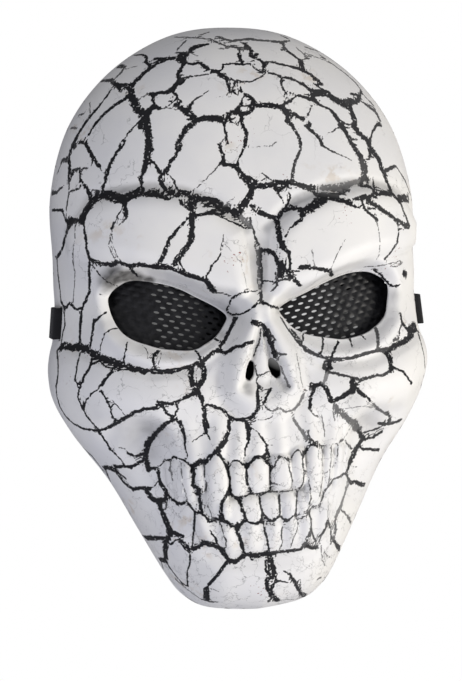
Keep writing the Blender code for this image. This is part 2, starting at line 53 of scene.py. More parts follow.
# %% [markdown]
# ## The camera
#
# The photograph looks at the face from close by, a little from the left and a little from above the brow. A
# short distance matters here, because it makes the nose and the teeth larger than the jaw behind them.
# These numbers are the rounded result of a least-squares fit, made by a separate scratch program. It
# matched a first dome to the photograph's outline, found by a brightness limit, and to eight pairs of
# points that were read off.

# %% Camera
TARGET = Vector((0.0, -0.00031, 0.040))
DISTANCE = 0.606
TURN, TILT, ROLL = math.radians(11.07), math.radians(2.8), math.radians(1.85)
PHOTO_WIDE, PHOTO_HIGH = 462, 681
AXIS_PX, AXIS_PY = 239.3, 318.8
PX_PER_RADIAN = DISTANCE / 0.0005

toward = Vector((-math.sin(TURN) * math.cos(TILT), math.sin(TILT), math.cos(TURN) * math.cos(TILT)))
level = (-toward).cross(Vector((0.0, 1.0, 0.0))).normalized()
upright = level.cross(-toward)
right = level * math.cos(ROLL) - upright * math.sin(ROLL)
above = level * math.sin(ROLL) + upright * math.cos(ROLL)
eye_point = TARGET + toward * DISTANCE

camera_data = bpy.data.cameras.new("camera")
camera_data.lens = camera_data.sensor_width * PX_PER_RADIAN / PHOTO_HIGH
camera_data.shift_x = (PHOTO_WIDE / 2.0 - AXIS_PX) / PHOTO_HIGH
camera_data.shift_y = (AXIS_PY - PHOTO_HIGH / 2.0) / PHOTO_HIGH
camera = bpy.data.objects.new("camera", camera_data)
camera.matrix_world = Matrix.Translation(eye_point) @ Matrix((right, above, toward)).transposed().to_4x4()
scene.collection.objects.link(camera)
scene.camera = camera
print("lens, mm:", round(camera_data.lens, 1))


def sight_line(px, py):
    """Direction from the camera through a place of the photograph."""
    return (right * (px - AXIS_PX) - above * (py - AXIS_PY) - toward * PX_PER_RADIAN).normalized()


# %% [markdown]
# ## Floor and light
#
# The photograph shows white all round the mask, and soft light from the lower right, so the left half of
# the face turns to a cool lavender grey. One warm lamp, two weaker ones and a pale sky do that. The floor
# glows white for direct sight only, so it doesn't light the mask's walls from below. Under the mask it
# fades into a painted shade, with two painted spots of light behind the eyes. Their places and strengths
# were set for the photograph's angle, so that the small holes of the eyes glint there and the nostrils stay
# black. From other angles, or without this floor, the holes look different.

# %% Floor and lights
scene.view_settings.view_transform = "Standard"
scene.view_settings.look = "None"


def new_finish(name, colour, roughness):
    """A material with a Principled shader, ready for its pattern."""
    mat = bpy.data.materials.new(name)
    mat.use_nodes = True
    shader = mat.node_tree.nodes["Principled BSDF"]
    shader.inputs["Base Color"].default_value = (*colour, 1.0)
    shader.inputs["Roughness"].default_value = roughness
    return mat, mat.node_tree, shader


def new_piece(name, bm, mat):
    """Turn a bmesh in millimetres into an object at the origin, in metres."""
    bmesh.ops.scale(bm, vec=(MM, MM, MM), verts=bm.verts)
    mesh = bpy.data.meshes.new(name)
    bm.to_mesh(mesh)
    bm.free()
    mesh.materials.append(mat)
    obj = bpy.data.objects.new(name, mesh)
    scene.collection.objects.link(obj)
    return obj


# sizes of the floor's painted shade under the mask and of its painted spots of light
UNDER_MASK = (78.0, 118.0)     # half sizes of the dark patch, millimetres
TAPER = 0.38                   # how fast the patch narrows towards the chin
FADE_FROM, FADE_RATE = 0.62, 1.4   # where the patch starts to lighten, and how fast
FLOOR_SIZE, FLOOR_DROP = 25000.0, 0.4   # half size, and how far it lies below the rim, millimetres
# painted spots of light behind the eyes: middle x and y, half width, half height, brightness
EYE_GLOWS = [(-31.0, 2.0, 21.0, 32.0, 0.15), (37.0, 3.0, 29.0, 36.0, 0.6)]


def step(tree, operation, *sources):
    """A sum, product or other step between sockets and numbers."""
    node = tree.nodes.new("ShaderNodeMath")
    node.operation = operation
    for socket, source in zip(node.inputs, sources):
        if isinstance(source, bpy.types.NodeSocket):
            tree.links.new(source, socket)
        else:
            socket.default_value = source
    return node.outputs[0]


def floor_paper():
    """Paper that the camera sees as white, fading to a painted shade under the mask, with painted spots of
    light.
    """
    mat, tree, shader = new_finish("floor_paper", (0.3, 0.3, 0.3), 0.9)
    place = tree.nodes.new("ShaderNodeSeparateXYZ")
    tree.links.new(tree.nodes.new("ShaderNodeTexCoord").outputs["Object"], place.inputs[0])
    narrow = step(tree, "MULTIPLY", step(tree, "MINIMUM", place.outputs[1], 0.0), TAPER)
    half_width = step(tree, "ADD", narrow, UNDER_MASK[0] * MM)
    across = step(tree, "POWER", step(tree, "DIVIDE", place.outputs[0], half_width), 2.0)
    along = step(tree, "POWER", step(tree, "DIVIDE", place.outputs[1], UNDER_MASK[1] * MM), 2.0)
    past_rim = step(tree, "SUBTRACT", step(tree, "ADD", across, along), FADE_FROM)
    open_floor = step(tree, "MINIMUM", step(tree, "MULTIPLY", past_rim, FADE_RATE), 1.0)
    open_floor = step(tree, "MAXIMUM", open_floor, 0.0)
    open_floor = step(tree, "POWER", open_floor, 2.0)
    white = open_floor
    # painted spots of light behind the eyes, added to the glow
    for middle_x, middle_y, half_x, half_y, bright in EYE_GLOWS:
        off_x = step(tree, "DIVIDE", step(tree, "SUBTRACT", place.outputs[0], middle_x * MM), half_x * MM)
        off_y = step(tree, "DIVIDE", step(tree, "SUBTRACT", place.outputs[1], middle_y * MM), half_y * MM)
        off = step(tree, "ADD", step(tree, "POWER", off_x, 2.0), step(tree, "POWER", off_y, 2.0))
        spot = step(tree, "MULTIPLY", step(tree, "MAXIMUM", step(tree, "SUBTRACT", 1.0, off), 0.0), bright)
        white = step(tree, "MAXIMUM", white, spot)
    seen = tree.nodes.new("ShaderNodeLightPath").outputs["Is Camera Ray"]
    tree.links.new(step(tree, "MULTIPLY", white, seen), shader.inputs["Emission Strength"])
    shader.inputs["Emission Color"].default_value = (1.0, 1.0, 1.0, 1.0)
    # painted shade: the base colour darkens under the mask too
    grey = step(tree, "MULTIPLY", step(tree, "ADD", open_floor, 0.2), 0.26)
    grey = step(tree, "MULTIPLY", grey, step(tree, "SUBTRACT", 1.0, step(tree, "MULTIPLY", seen, open_floor)))
    tone = tree.nodes.new("ShaderNodeCombineXYZ")
    for channel in tone.inputs:
        tree.links.new(grey, channel)
    tree.links.new(tone.outputs[0], shader.inputs["Base Color"])
    shader.inputs["Specular IOR Level"].default_value = 0.0
    return mat


paper = floor_paper()
floor_bm = bmesh.new()
bmesh.ops.create_grid(floor_bm, x_segments=1, y_segments=1, size=FLOOR_SIZE)
bmesh.ops.translate(floor_bm, vec=(0.0, 0.0, -FLOOR_DROP), verts=floor_bm.verts)
floor = new_piece("floor", floor_bm, paper)

sky = bpy.data.worlds.new("studio")
sky.use_nodes = True
sky.node_tree.nodes["Background"].inputs["Color"].default_value = (0.92, 0.93, 1.0, 1.0)
sky.node_tree.nodes["Background"].inputs["Strength"].default_value = 0.38
scene.world = sky

# lamp: place, width and height, watts, colour
LAMPS = {
    "key": ((0.85, -0.22, 0.72), (0.5, 0.6), 9.7, (1.0, 0.96, 0.89)),
    "top": ((0.05, 0.9, 0.75), (0.8, 0.5), 0.8, (1.0, 0.99, 0.96)),
    "cool_side": ((-0.6, -0.55, 0.8), (0.7, 0.7), 4.4, (0.84, 0.86, 1.0)),
}
for name, (place, (wide, high), watts, colour) in LAMPS.items():
    lamp = bpy.data.lights.new(name, "AREA")
    lamp.shape = "RECTANGLE"
    lamp.size = wide
    lamp.size_y = high
    lamp.energy = watts
    lamp.color = colour
    holder = bpy.data.objects.new(name, lamp)
    holder.location = place
    holder.rotation_euler = (TARGET - Vector(place)).to_track_quat("-Z", "Y").to_euler()
    scene.collection.objects.link(holder)
print("lamps:", ", ".join(LAMPS))

# %% [markdown]
# ## The shell's plain dome
#
# The real shell is one thin sheet, drawn over a form. Here it is a flat grid bent into a dome: the rim
# gives the dome's reach in each direction, and a power curve takes it from the flat front round into steep
# side walls. The sizes are those of the solid part, so both surfaces lie in the same place. Grid lines are
# spaced by their way along the surface, which keeps the small squares nearly square on the walls too.

# %% Sizes of the dome, in millimetres
DEPTH = 92.0          # rim plane to the plain front of the dome
SHOULDER = 3.9        # how squarely the front turns into the side walls
BULGE = 0.032         # how far the walls swell between rim and front
WALL = 2.1            # shell thickness
ARCH_TOP = 37.0       # height of the rim above the floor at the temples
ARCH_MID = 2.0        # y of the highest point of that arch
ARCH_HALF = 66.0      # half length of the arch
SHIFT_Y = -0.3125     # puts the origin under the middle of the whole outline

# height up the face, half width of the rim there
RIM = [(142.5, 0.0), (138.0, 30.0), (121.0, 58.5), (95.0, 79.0), (62.0, 88.6), (30.0, 88.6), (5.0, 89.8),
       (-15.0, 91.8), (-33.0, 92.0), (-52.0, 83.0), (-76.0, 66.0), (-101.0, 52.5), (-123.0, 40.5),
       (-133.0, 33.0),
       (-139.0, 22.0), (-141.0, 0.0)]
# direction in degrees, roundness of the dome in that direction
ROUND = [(-180, 3.0), (-135, 3.5), (-112, 5.0), (-90, 7.0), (-68, 5.0), (-45, 3.5), (0, 3.0), (45, 2.4),
         (90, 2.0), (135, 2.4), (180, 3.0)]


def smooth(t):
    t = np.clip(t, 0.0, 1.0)
    return t * t * (3.0 - 2.0 * t)


def rim_through(points, steps=24):
    """A smooth curve through the rim's table, mirrored at both ends."""
    p = np.array(points)
    p = np.vstack([p[1] * [1, -1], p, p[-2] * [1, -1]])
    out = []
    for a, b, c, d in zip(p[:-3], p[1:-2], p[2:-1], p[3:]):
        t = np.arange(steps)[:, None] / steps
        curve = 2 * b + (c - a) * t + (2 * a - 5 * b + 4 * c - d) * t * t + (3 * b - a - 3 * c + d) * t ** 3
        out.append(0.5 * curve)
    return np.vstack(out + [p[-2:-1]])


rim_curve = rim_through(RIM)
rim_angle = np.arctan2(rim_curve[:, 0], rim_curve[:, 1])
rim_order = np.argsort(rim_angle)


def reach(angle):
    """Distance from the middle to the rim in a direction."""
    folded = np.where(np.abs(angle) <= np.pi / 2, angle, np.sign(angle) * np.pi - angle)
    return np.interp(folded, rim_angle[rim_order], np.hypot(rim_curve[:, 0], rim_curve[:, 1])[rim_order])


def dome(s, angle):
    """A point of the plain dome: s runs from 0 in the middle to 1 at the rim."""
    power = np.interp(np.degrees(angle), [a for a, _ in ROUND], [r for _, r in ROUND])
    z = DEPTH * np.clip(1.0 - s ** power, 0.0, 1.0) ** (1.0 / SHOULDER)
    r = reach(angle) * s * (1.0 + BULGE * np.sin(np.pi * z / DEPTH))
    return np.stack([r * np.cos(angle), r * np.sin(angle), z], axis=-1)


def arch_height(y):
    """How far the rim is lifted off the floor at the temples."""
    t = np.clip((y - ARCH_MID) / ARCH_HALF, -1.0, 1.0)
    return ARCH_TOP * (1.0 - t * t) ** 2


# a table of the way along the surface, for each direction: place = 1 - root ** 4, as the wall is so steep
roots = np.linspace(1.0, 0.0, 500)
table_angles = np.radians(np.linspace(-180.0, 180.0, 721))
lines = dome(np.broadcast_to(1.0 - roots ** 4, (721, 500)), table_angles[:, None] + 0.0 * roots)
ways = np.zeros((721, 500))
ways[:, 1:] = np.cumsum(np.linalg.norm(np.diff(lines, axis=1), axis=2), axis=1)
shares = np.linspace(0.0, 1.0, 401)
root_table = np.zeros((721, 401))
for k in range(721):
    clear = lines[k, :, 2] - arch_height(lines[k, :, 1])
    end = ways[k, -1]
    if clear.min() < -1e-6:
        last = int(np.argmax(clear < 0.0))
        end = np.interp(0.0, [-clear[last - 1], -clear[last]], [ways[k, last - 1], ways[k, last]])
    root_table[k] = np.interp(shares * end, ways[k], roots)
print("way from the middle to the rim, mm:", round(ways[:, -1].min()), "to", round(ways[:, -1].max()))


def place_on_dome(share, angle):
    """How far out a point lies, from its share of the way to the rim."""
    a = (np.degrees(angle) + 180.0) * 2.0
    m = np.clip(share, 0.0, 1.0) * 400.0
    a0 = np.clip(a.astype(int), 0, 719)
    m0 = np.clip(m.astype(int), 0, 399)
    fa = a - a0
    fm = m - m0
    near = root_table[a0, m0] * (1 - fm) + root_table[a0, m0 + 1] * fm
    far = root_table[a0 + 1, m0] * (1 - fm) + root_table[a0 + 1, m0 + 1] * fm
    return 1.0 - (near * (1 - fa) + far * fa) ** 4


# %% [markdown]
# ## Its relief
#
# The face is a height map over the dome, as a sculptor would lay clay on a plain form. Each stroke is a row
# of places with a radius and a height: cheekbones, the ring round the nose, jaw and chin. The sockets sink
# by an amount that grows towards the brow, so the brow overhangs them. The inside follows the broad forms
# and the creases, but only part of the fine raised forms, as a sheet of plastic does.
#
# The eye outlines and the middles of the nostrils were read by eye in the photograph, and the scratch
# program of the fitted camera turned them into millimetres. The rim's widths and the dome's roundness began
# as results of that fit too.

# %% Tables of the relief, in millimetres
EYE_LEFT = [(-67.9, 11.9), (-67.0, 15.0), (-64.1, 18.3), (-58.9, 20.9), (-53.0, 21.2), (-43.0, 19.4),
            (-34.9, 16.8), (-26.8, 12.4), (-18.7, 7.9), (-13.8, 3.6), (-15.3, -0.1), (-19.6, -5.1),
            (-25.2, -8.6), (-31.7, -11.2), (-44.1, -10.3), (-51.8, -8.1), (-58.1, -5.6), (-63.0, -1.7),
            (-66.4, 4.9)]
EYE_RIGHT = [(11.5, 5.9), (17.1, 9.4), (27.3, 13.7), (36.1, 17.6), (45.0, 20.6), (51.3, 21.8), (57.6, 21.6),
             (63.3, 19.0), (66.9, 15.5), (67.3, 10.1), (65.5, 2.9), (63.3, -0.8), (58.4, -4.5), (52.0, -7.5),
             (41.5, -9.4), (33.3, -8.4), (23.6, -6.5), (17.2, -3.3), (13.8, 0.6)]
# the mean of both, for the socket around them
SOCKET = [(12.7, 4.6), (18.0, 8.7), (27.0, 13.1), (35.5, 17.2), (44.0, 20.1), (52.0, 21.6), (58.5, 21.2),
          (64.0, 18.6), (67.3, 14.0), (67.0, 8.5), (65.0, 1.5), (61.0, -3.0), (55.5, -6.6), (48.0, -9.0),
          (40.0, -10.3), (31.0, -10.0), (24.5, -7.8), (18.0, -3.8)]
# nostrils: x, y, half width, half height, lean in degrees
NOSTRILS = [(-6.1, -21.3, 2.3, 4.8, -13.0), (5.4, -20.7, 2.4, 5.1, 20.0)]
# raised brow plate on each side, x and y
PLATE = [(3.2, 15.0), (4.0, 30.0), (6.5, 43.0), (19.0, 54.5), (34.0, 60.0), (48.0, 62.5), (62.0, 62.5),
         (76.0, 59.0), (86.0, 46.0), (85.0, 33.0), (73.0, 29.5), (60.0, 28.5), (48.0, 25.5), (34.0, 19.5),
         (21.0, 13.8), (9.0, 10.5)]
# broad forms on both sides: places of (x, y, radius, height)
BROAD = {
    "nose_ring": [(2.5, 7.0, 10.0, 3.0), (7.0, -8.0, 10.0, 5.0), (11.0, -19.0, 10.0, 6.5),
                  (12.5, -29.0, 10.0, 6.0), (6.0, -36.0, 10.0, 5.0), (0.0, -37.0, 10.0, 4.5)],
    "cheekbone": [(84.0, -20.0, 15.0, 2.5), (68.0, -31.0, 18.0, 4.5), (48.0, -34.0, 18.0, 5.0),
                  (32.0, -34.0, 15.0, 3.0)],
    "cheek_hollow": [(66.0, -50.0, 12.0, -3.0), (55.0, -53.0, 16.0, -8.0), (49.0, -66.0, 13.0, -4.5),
                     (46.0, -84.0, 11.0, -2.0)],
    "upper_jaw": [(0.0, -58.0, 36.0, 3.0), (14.0, -72.0, 34.0, 3.5), (10.0, -92.0, 30.0, 3.0)],
    "chin": [(0.0, -123.0, 22.0, 4.5), (15.0, -122.0, 20.0, 4.0)],
    "under_lip": [(0.0, -109.5, 7.0, -2.6), (20.0, -108.0, 7.0, -2.4), (32.0, -101.0, 7.0, -1.5)],
    "valley": [(0.0, 46.0, 9.0, -1.0), (0.0, 30.0, 8.0, -2.5), (0.0, 14.0, 8.0, -2.0)],
    "temple": [(80.0, 8.0, 16.0, -2.0), (84.0, -4.0, 14.0, -1.5)],
}
# creases and small ridges on both sides, the same columns
FINE = {
    "lower_lid": [(69.0, -1.0, 6.0, 1.4), (60.0, -10.5, 6.5, 1.8), (45.0, -15.0, 6.5, 2.0),
                  (30.0, -15.0, 6.5, 1.8), (19.0, -9.0, 5.0, 1.2)],
    "lid_crease": [(86.0, -8.0, 4.0, -0.8), (73.0, -13.4, 4.0, -1.4), (51.0, -20.5, 4.0, -1.6),
                   (29.0, -20.0, 4.0, -1.6), (17.0, -10.0, 4.0, -1.0)],
    "nasal_crease": [(0.6, -1.0, 3.0, -1.6), (3.4, -11.0, 3.5, -3.4), (6.0, -20.0, 4.5, -4.2),
                     (9.5, -28.0, 4.0, -2.6)],
    "septum": [(0.0, -8.0, 3.5, 0.6), (0.0, -22.0, 4.5, 1.6), (0.0, -30.0, 4.5, 1.2)],
    "brow_groove": [(5.0, 44.5, 4.5, -1.2), (19.0, 56.5, 4.5, -1.5), (34.0, 62.0, 4.5, -1.4),
                    (48.0, 64.5, 4.5, -1.2), (76.0, 61.0, 4.5, -0.8)],
}
# teeth: middle x, half width, top y, bottom y, height, sideways shift of the foot
TEETH = [(-45.0, 2.2, -62.0, -76.0, 1.0, 0.6), (-40.5, 2.9, -61.5, -82.0, 1.4, 1.2),
         (-35.5, 2.9, -62.0, -83.0, 1.5, 1.2), (-30.5, 2.6, -62.5, -77.0, 1.5, 0.8),
         (-22.6, 4.9, -59.5, -89.5, 2.4, 1.0), (-13.4, 3.8, -62.5, -78.5, 1.9, 0.2),
         (-4.2, 5.2, -60.5, -77.6, 2.2, 0.0), (6.7, 5.2, -59.8, -77.0, 2.2, 0.2),
         (14.9, 3.2, -57.5, -76.6, 1.9, 0.0),
         (22.2, 4.2, -56.0, -86.5, 2.3, -0.6), (29.0, 2.8, -57.0, -82.0, 1.5, -1.0),
         (34.6, 2.8, -57.0, -78.0, 1.4, -1.4), (39.8, 2.6, -58.0, -76.0, 1.2, -1.4),
         (-16.2, 5.2, -79.8, -91.8, 1.8, 1.2), (-7.6, 4.9, -78.6, -91.8, 1.9, 1.4),
         (1.4, 4.6, -78.2, -91.4, 1.9, 1.0),
         (9.6, 3.8, -77.8, -91.2, 1.8, 0.6), (16.4, 3.2, -77.6, -90.6, 1.6, -0.4)]
# root ridges over and under the teeth: x, y of one end, x, y of the other, radius, height
ROOTS = [(-22.6, -58.0, -21.0, -42.0, 5.0, 1.3), (-13.4, -60.0, -12.0, -45.0, 4.0, 1.0),
         (-4.2, -59.0, -3.5, -43.0, 4.5, 1.0), (6.7, -58.0, 6.0, -43.0, 4.5, 1.0),
         (22.2, -55.0, 21.0, -42.0, 5.0, 1.3),
         (-33.0, -60.0, -35.0, -46.0, 5.0, 1.0), (33.0, -56.0, 35.0, -44.0, 5.0, 1.0),
         (-30.0, -88.0, -27.0, -100.0, 4.5, 1.2), (-19.0, -94.0, -17.0, -104.0, 4.0, 1.2),
         (-8.0, -94.0, -7.0, -105.0, 5.0, 1.3), (2.5, -94.0, 2.5, -105.0, 4.0, 1.2),
         (10.5, -93.5, 11.0, -104.0, 4.0, 1.2),
         (18.5, -92.5, 19.0, -102.0, 4.0, 1.2), (28.0, -88.0, 27.0, -100.0, 4.5, 1.2)]
print("teeth:", len(TEETH), " roots:", len(ROOTS))


# %% From the tables to a height at any point
def bump(x, y, rows):
    """Height of a stroke with rounded section along a row of (x, y, radius, height)."""
    best = np.zeros(x.shape)
    for (ax, ay, ar, ah), (bx, by, br, bh) in zip(rows[:-1], rows[1:]):
        ux, uy = bx - ax, by - ay
        t = np.clip(((x - ax) * ux + (y - ay) * uy) / (ux * ux + uy * uy), 0.0, 1.0)
        d = np.hypot(x - ax - t * ux, y - ay - t * uy)
        h = (ah + (bh - ah) * t) * np.clip(1.0 - (d / (ar + (br - ar) * t)) ** 2, 0.0, 1.0) ** 2
        best = np.where(np.abs(h) > np.abs(best), h, best)
    return best


def inside_distance(x, y, polygon):
    """Distance to a closed outline, positive inside it, with the nearest place on the outline."""
    x, y = np.asarray(x, float), np.asarray(y, float)
    far = np.full(x.shape, 1e9)
    spot = np.zeros(x.shape + (2,))
    inside = np.zeros(x.shape, bool)
    ring = list(polygon)
    for (ax, ay), (bx, by) in zip(ring, ring[1:] + ring[:1]):
        ux, uy = bx - ax, by - ay
        t = np.clip(((x - ax) * ux + (y - ay) * uy) / (ux * ux + uy * uy), 0.0, 1.0)
        d = np.hypot(x - ax - t * ux, y - ay - t * uy)
        closer = d < far
        spot[closer] = np.stack([ax + t * ux, ay + t * uy], axis=-1)[closer]
        far = np.minimum(far, d)
        inside ^= ((ay > y) != (by > y)) & (x < ux * (y - ay) / (uy if uy else 1e-9) + ax)
    return np.where(inside, far, -far), spot


def broad_relief(x, y):
    """The large forms, which the inside of the shell follows too."""
    m = np.sqrt(x * x + 1.0)
    h = sum(bump(m, y, rows) for rows in BROAD.values())
    t = np.clip(inside_distance(m, y, PLATE)[0] / 10.0, 0.0, 1.0)
    h = h + 5.2 * (1.0 - (1.0 - t) ** 2.2)
    d = -inside_distance(m, y, SOCKET)[0]
    deep = (4.5 + 10.5 * smooth((y + 11.0) / 23.0)) * (1.0 - 0.22 * smooth((m - 45.0) / 25.0))
    fall = smooth(1.0 - np.clip(d, 0.0, None) / (7.0 + 3.0 * smooth((24.0 - m) / 12.0)))
    return h * (1.0 - fall) - deep * fall


def fine_relief(x, y):
    """Creases, lids, teeth and root ridges."""
    h = sum(bump(np.abs(x), y, rows) for rows in FINE.values())
    for cx, half, top, bottom, height, shift in TEETH:
        mid, tall = (top + bottom) / 2.0, (top - bottom) / 2.0
        lean = cx + shift * (mid - y) / tall
        q = (np.abs(x - lean) / half) ** 2.6 + (np.abs(y - mid) / tall) ** 3.5
        h = h + (height + 1.1) * np.clip(1.0 - q, 0.0, 1.0) ** 0.5
    h = h + bump(x, y, [(-48.0, -70.0, 13.0, -0.9), (-20.0, -76.0, 18.0, -0.9), (20.0, -75.0, 18.0, -0.9),
                        (43.0, -68.0, 13.0, -0.9)])
    for ax, ay, bx, by, r, height in ROOTS:
        h = h + bump(x, y, [(ax, ay, r, height * 1.5), (bx, by, r, height * 0.8)])
    return h


def sheet_points(u, v, inset, share):
    """Points of the shell's face, pushed in by inset, with a share of the fine raised forms."""
    dx, dy = u * np.sqrt(1.0 - v * v / 2.0), v * np.sqrt(1.0 - u * u / 2.0)
    angle = np.arctan2(dy, dx)
    s = place_on_dome(np.hypot(dx, dy), angle)
    p = dome(s, angle)
    step = 1e-3
    near = np.clip(s, 0.02, 0.9995)
    along = dome(near + step * (1 - near), angle) - dome(near, angle)
    across = dome(near, angle + step) - dome(near, angle - step)
    n = np.cross(along, across)
    n = n / np.maximum(np.linalg.norm(n, axis=-1, keepdims=True), 1e-12)
    n[s < 0.02] = (0.0, 0.0, 1.0)
    fine = fine_relief(p[..., 0], p[..., 1])
    h = broad_relief(p[..., 0], p[..., 1]) + fine * np.where(fine < 0.0, 1.0, share)
    q = p + n * (h * smooth(p[..., 2] / 30.0) - inset)[..., None]
    q[p[..., 2] < 1e-3, 2] = 0.0
    return q, n


# %% [markdown]
# ## Bending the two sheets
#
# The face the camera sees gets a fine grid, about a millimetre wide where the eyes, nose and teeth are. The
# inner face is seen only from below, so its grid is half as fine. Both are plain grids whose points are
# moved.

# %% Outer and inner face
# grid lines as rows of (start, end, count), in shares of the way to the rim
COLS = [(-1.0, -0.42, 46), (-0.42, 0.42, 138), (0.42, 1.0, 46)]
ROWS = [(-1.0, -0.60, 40), (-0.60, 0.25, 178), (0.25, 1.0, 82)]


def grid_lines(sections, coarse):
    out = [np.linspace(a, b, max(2, n // coarse), endpoint=False) for a, b, n in sections]
    return np.concatenate(out + [[sections[-1][1]]])


def bent_grid(coarse, inset, share):
    """A grid bent into one face of the shell."""
    cols, rows = grid_lines(COLS, coarse), grid_lines(ROWS, coarse)
    u, v = np.meshgrid(cols, rows)
    points, normals = sheet_points(u, v, inset, share)
    points[..., 1] += SHIFT_Y
    bm = bmesh.new()
    bmesh.ops.create_grid(bm, x_segments=len(cols) - 1, y_segments=len(rows) - 1, size=1.0)
    bm.verts.ensure_lookup_table()
    for vert, point in zip(bm.verts, points.reshape(-1, 3)):
        vert.co = point
    return bm


outer_bm = bent_grid(1, 0.0, 1.0)
inner_bm = bent_grid(2, WALL, 0.6)
print("outer faces:", len(outer_bm.faces), " inner faces:", len(inner_bm.faces))

# %% [markdown]
# ## Eye holes and nostrils
#
# On the real shell these are trimmed out with a knife and their edges are slightly rounded. Here the faces
# inside each outline are deleted, the cut edge is drawn onto the outline, and the edge is extruded inwards
# twice, which makes the rounded lip. A Boolean cutter would leave long thin faces here and a hard edge.

# %% Holes with a lip
LIP = 0.45   # how far the rounded lip reaches into a hole, millimetres


def ring_through(points, steps=8):
    """A smooth closed curve through an outline's points."""
    p = np.array(points)
    t = np.arange(steps)[:, None] / steps
    out = []
    for k in range(len(p)):
        a, b, c, d = p[k - 1], p[k], p[(k + 1) % len(p)], p[(k + 2) % len(p)]
        curve = 2 * b + (c - a) * t + (2 * a - 5 * b + 4 * c - d) * t * t + (3 * b - a - 3 * c + d) * t ** 3
        out.append(0.5 * curve)
    return np.vstack(out)


def grown(ring, amount):
    """The outline moved outwards by an amount."""
    t = np.roll(ring, -1, axis=0) - np.roll(ring, 1, axis=0)
    n = np.stack([t[:, 1], -t[:, 0]], axis=-1) / np.linalg.norm(t, axis=1, keepdims=True)
    turn = np.sum(ring[:, 0] * np.roll(ring[:, 1], -1) - ring[:, 1] * np.roll(ring[:, 0], -1))
    return ring + n * amount * np.sign(turn)


def nostril_ring(cx, cy, half_wide, half_high, lean, count=40):
    t = np.linspace(0.0, 2.0 * np.pi, count, endpoint=False)
    x, y = half_wide * np.cos(t), half_high * np.sin(t)
    c, s = math.cos(math.radians(lean)), math.sin(math.radians(lean))
    return np.stack([cx + x * c - y * s, cy + x * s + y * c], axis=-1)


def open_hole(bm, ring):
    """Delete the faces inside an outline and draw the cut edge onto it."""
    faces = [f for f in bm.faces if f.calc_center_median().z > 40.0]
    spots = np.array([f.calc_center_median() for f in faces])
    depth = inside_distance(spots[:, 0], spots[:, 1], ring)[0]
    bmesh.ops.delete(bm, geom=[f for f, d in zip(faces, depth) if d > 0.0], context="FACES")
    edge_verts = list({v for e in bm.edges if e.is_boundary for v in e.verts if v.co.z > 40.0})
    near = inside_distance([v.co.x for v in edge_verts], [v.co.y for v in edge_verts], ring)
    moved = []
    for vert, d, spot in zip(edge_verts, *near):
        if abs(d) < 4.0:
            dx, dy = spot[0] - vert.co.x, spot[1] - vert.co.y
            n = vert.normal
            vert.co += Vector((dx, dy, -(n.x * dx + n.y * dy) / max(abs(n.z), 0.3) * math.copysign(1.0, n.z)))
            moved.append(vert)
    bmesh.ops.remove_doubles(bm, verts=moved, dist=0.32)


def loop_edges(bm, ring, reach_out):
    """Open edges that lie along an outline."""
    edges = [e for e in bm.edges if e.is_boundary and e.verts[0].co.z > 40.0]
    x = [(e.verts[0].co.x + e.verts[1].co.x) / 2 for e in edges]
    y = [(e.verts[0].co.y + e.verts[1].co.y) / 2 for e in edges]
    return [e for e, d in zip(edges, inside_distance(x, y, ring)[0]) if abs(d) < reach_out]


def roll_lip(bm, ring):
    """Extrude a hole's edge inwards and down, twice, for a rounded lip."""
    for share, drop in ((0.72, 0.14), (0.28, 0.42)):
        made = bmesh.ops.extrude_edge_only(bm, edges=loop_edges(bm, ring, 0.9))["geom"]
        verts = [g for g in made if isinstance(g, bmesh.types.BMVert)]
        spots = inside_distance([v.co.x for v in verts], [v.co.y for v in verts], grown(ring, -2.5))[1]
        for vert, spot in zip(verts, spots):
            inward = Vector((spot[0] - vert.co.x, spot[1] - vert.co.y, 0.0)).normalized()
            vert.co += inward * LIP * share
            vert.co.z -= drop


def shifted(ring):
    return ring + np.array([0.0, SHIFT_Y])


holes = [shifted(ring_through(EYE_LEFT)), shifted(ring_through(EYE_RIGHT))]
holes += [shifted(nostril_ring(*row)) for row in NOSTRILS]
for bm, lip in ((outer_bm, LIP), (inner_bm, 0.0)):
    bm.normal_update()
    for ring in holes:
        open_hole(bm, grown(ring, lip))
for ring in holes:
    roll_lip(outer_bm, ring)
print("holes:", len(holes))

# %% [markdown]
# ## Strap slots, and joining the sheets
#
# The strap passes through one straight slot at each temple. Four planes cut the grid exactly along the
# slot's sides, so its corners stay square. Then every open loop of the outer sheet is bridged to its
# partner on the inner sheet, which closes the shell into one body with real walls.

# %% Slots and walls
SLOT_Z, SLOT_HIGH = 50.0, 3.4
SLOT_Y, SLOT_LONG = 1.8 + SHIFT_Y, 16.6


def open_slots(bm):
    """Cut the two temple slots exactly, with four planes each."""
    for side in (-1.0, 1.0):
        planes = [((0, SLOT_Y - SLOT_LONG / 2, 0), (0, 1, 0)), ((0, SLOT_Y + SLOT_LONG / 2, 0), (0, 1, 0)),
                  ((0, 0, SLOT_Z - SLOT_HIGH / 2), (0, 0, 1)), ((0, 0, SLOT_Z + SLOT_HIGH / 2), (0, 0, 1))]
        for place, way in planes:
            faces = [f for f in bm.faces if f.calc_center_median().x * side > 75.0
                     and abs(f.calc_center_median().y - SLOT_Y) < SLOT_LONG / 2 + 3.0
                     and abs(f.calc_center_median().z - SLOT_Z) < SLOT_HIGH / 2 + 4.0]
            edges = list({e for f in faces for e in f.edges})
            geom = faces + edges + list({v for f in faces for v in f.verts})
            bmesh.ops.bisect_plane(bm, geom=geom, dist=0.02, plane_co=place, plane_no=way)
        doomed = [f for f in bm.faces if f.calc_center_median().x * side > 75.0
                  and abs(f.calc_center_median().y - SLOT_Y) < SLOT_LONG / 2
                  and abs(f.calc_center_median().z - SLOT_Z) < SLOT_HIGH / 2]
        bmesh.ops.delete(bm, geom=doomed, context="FACES")


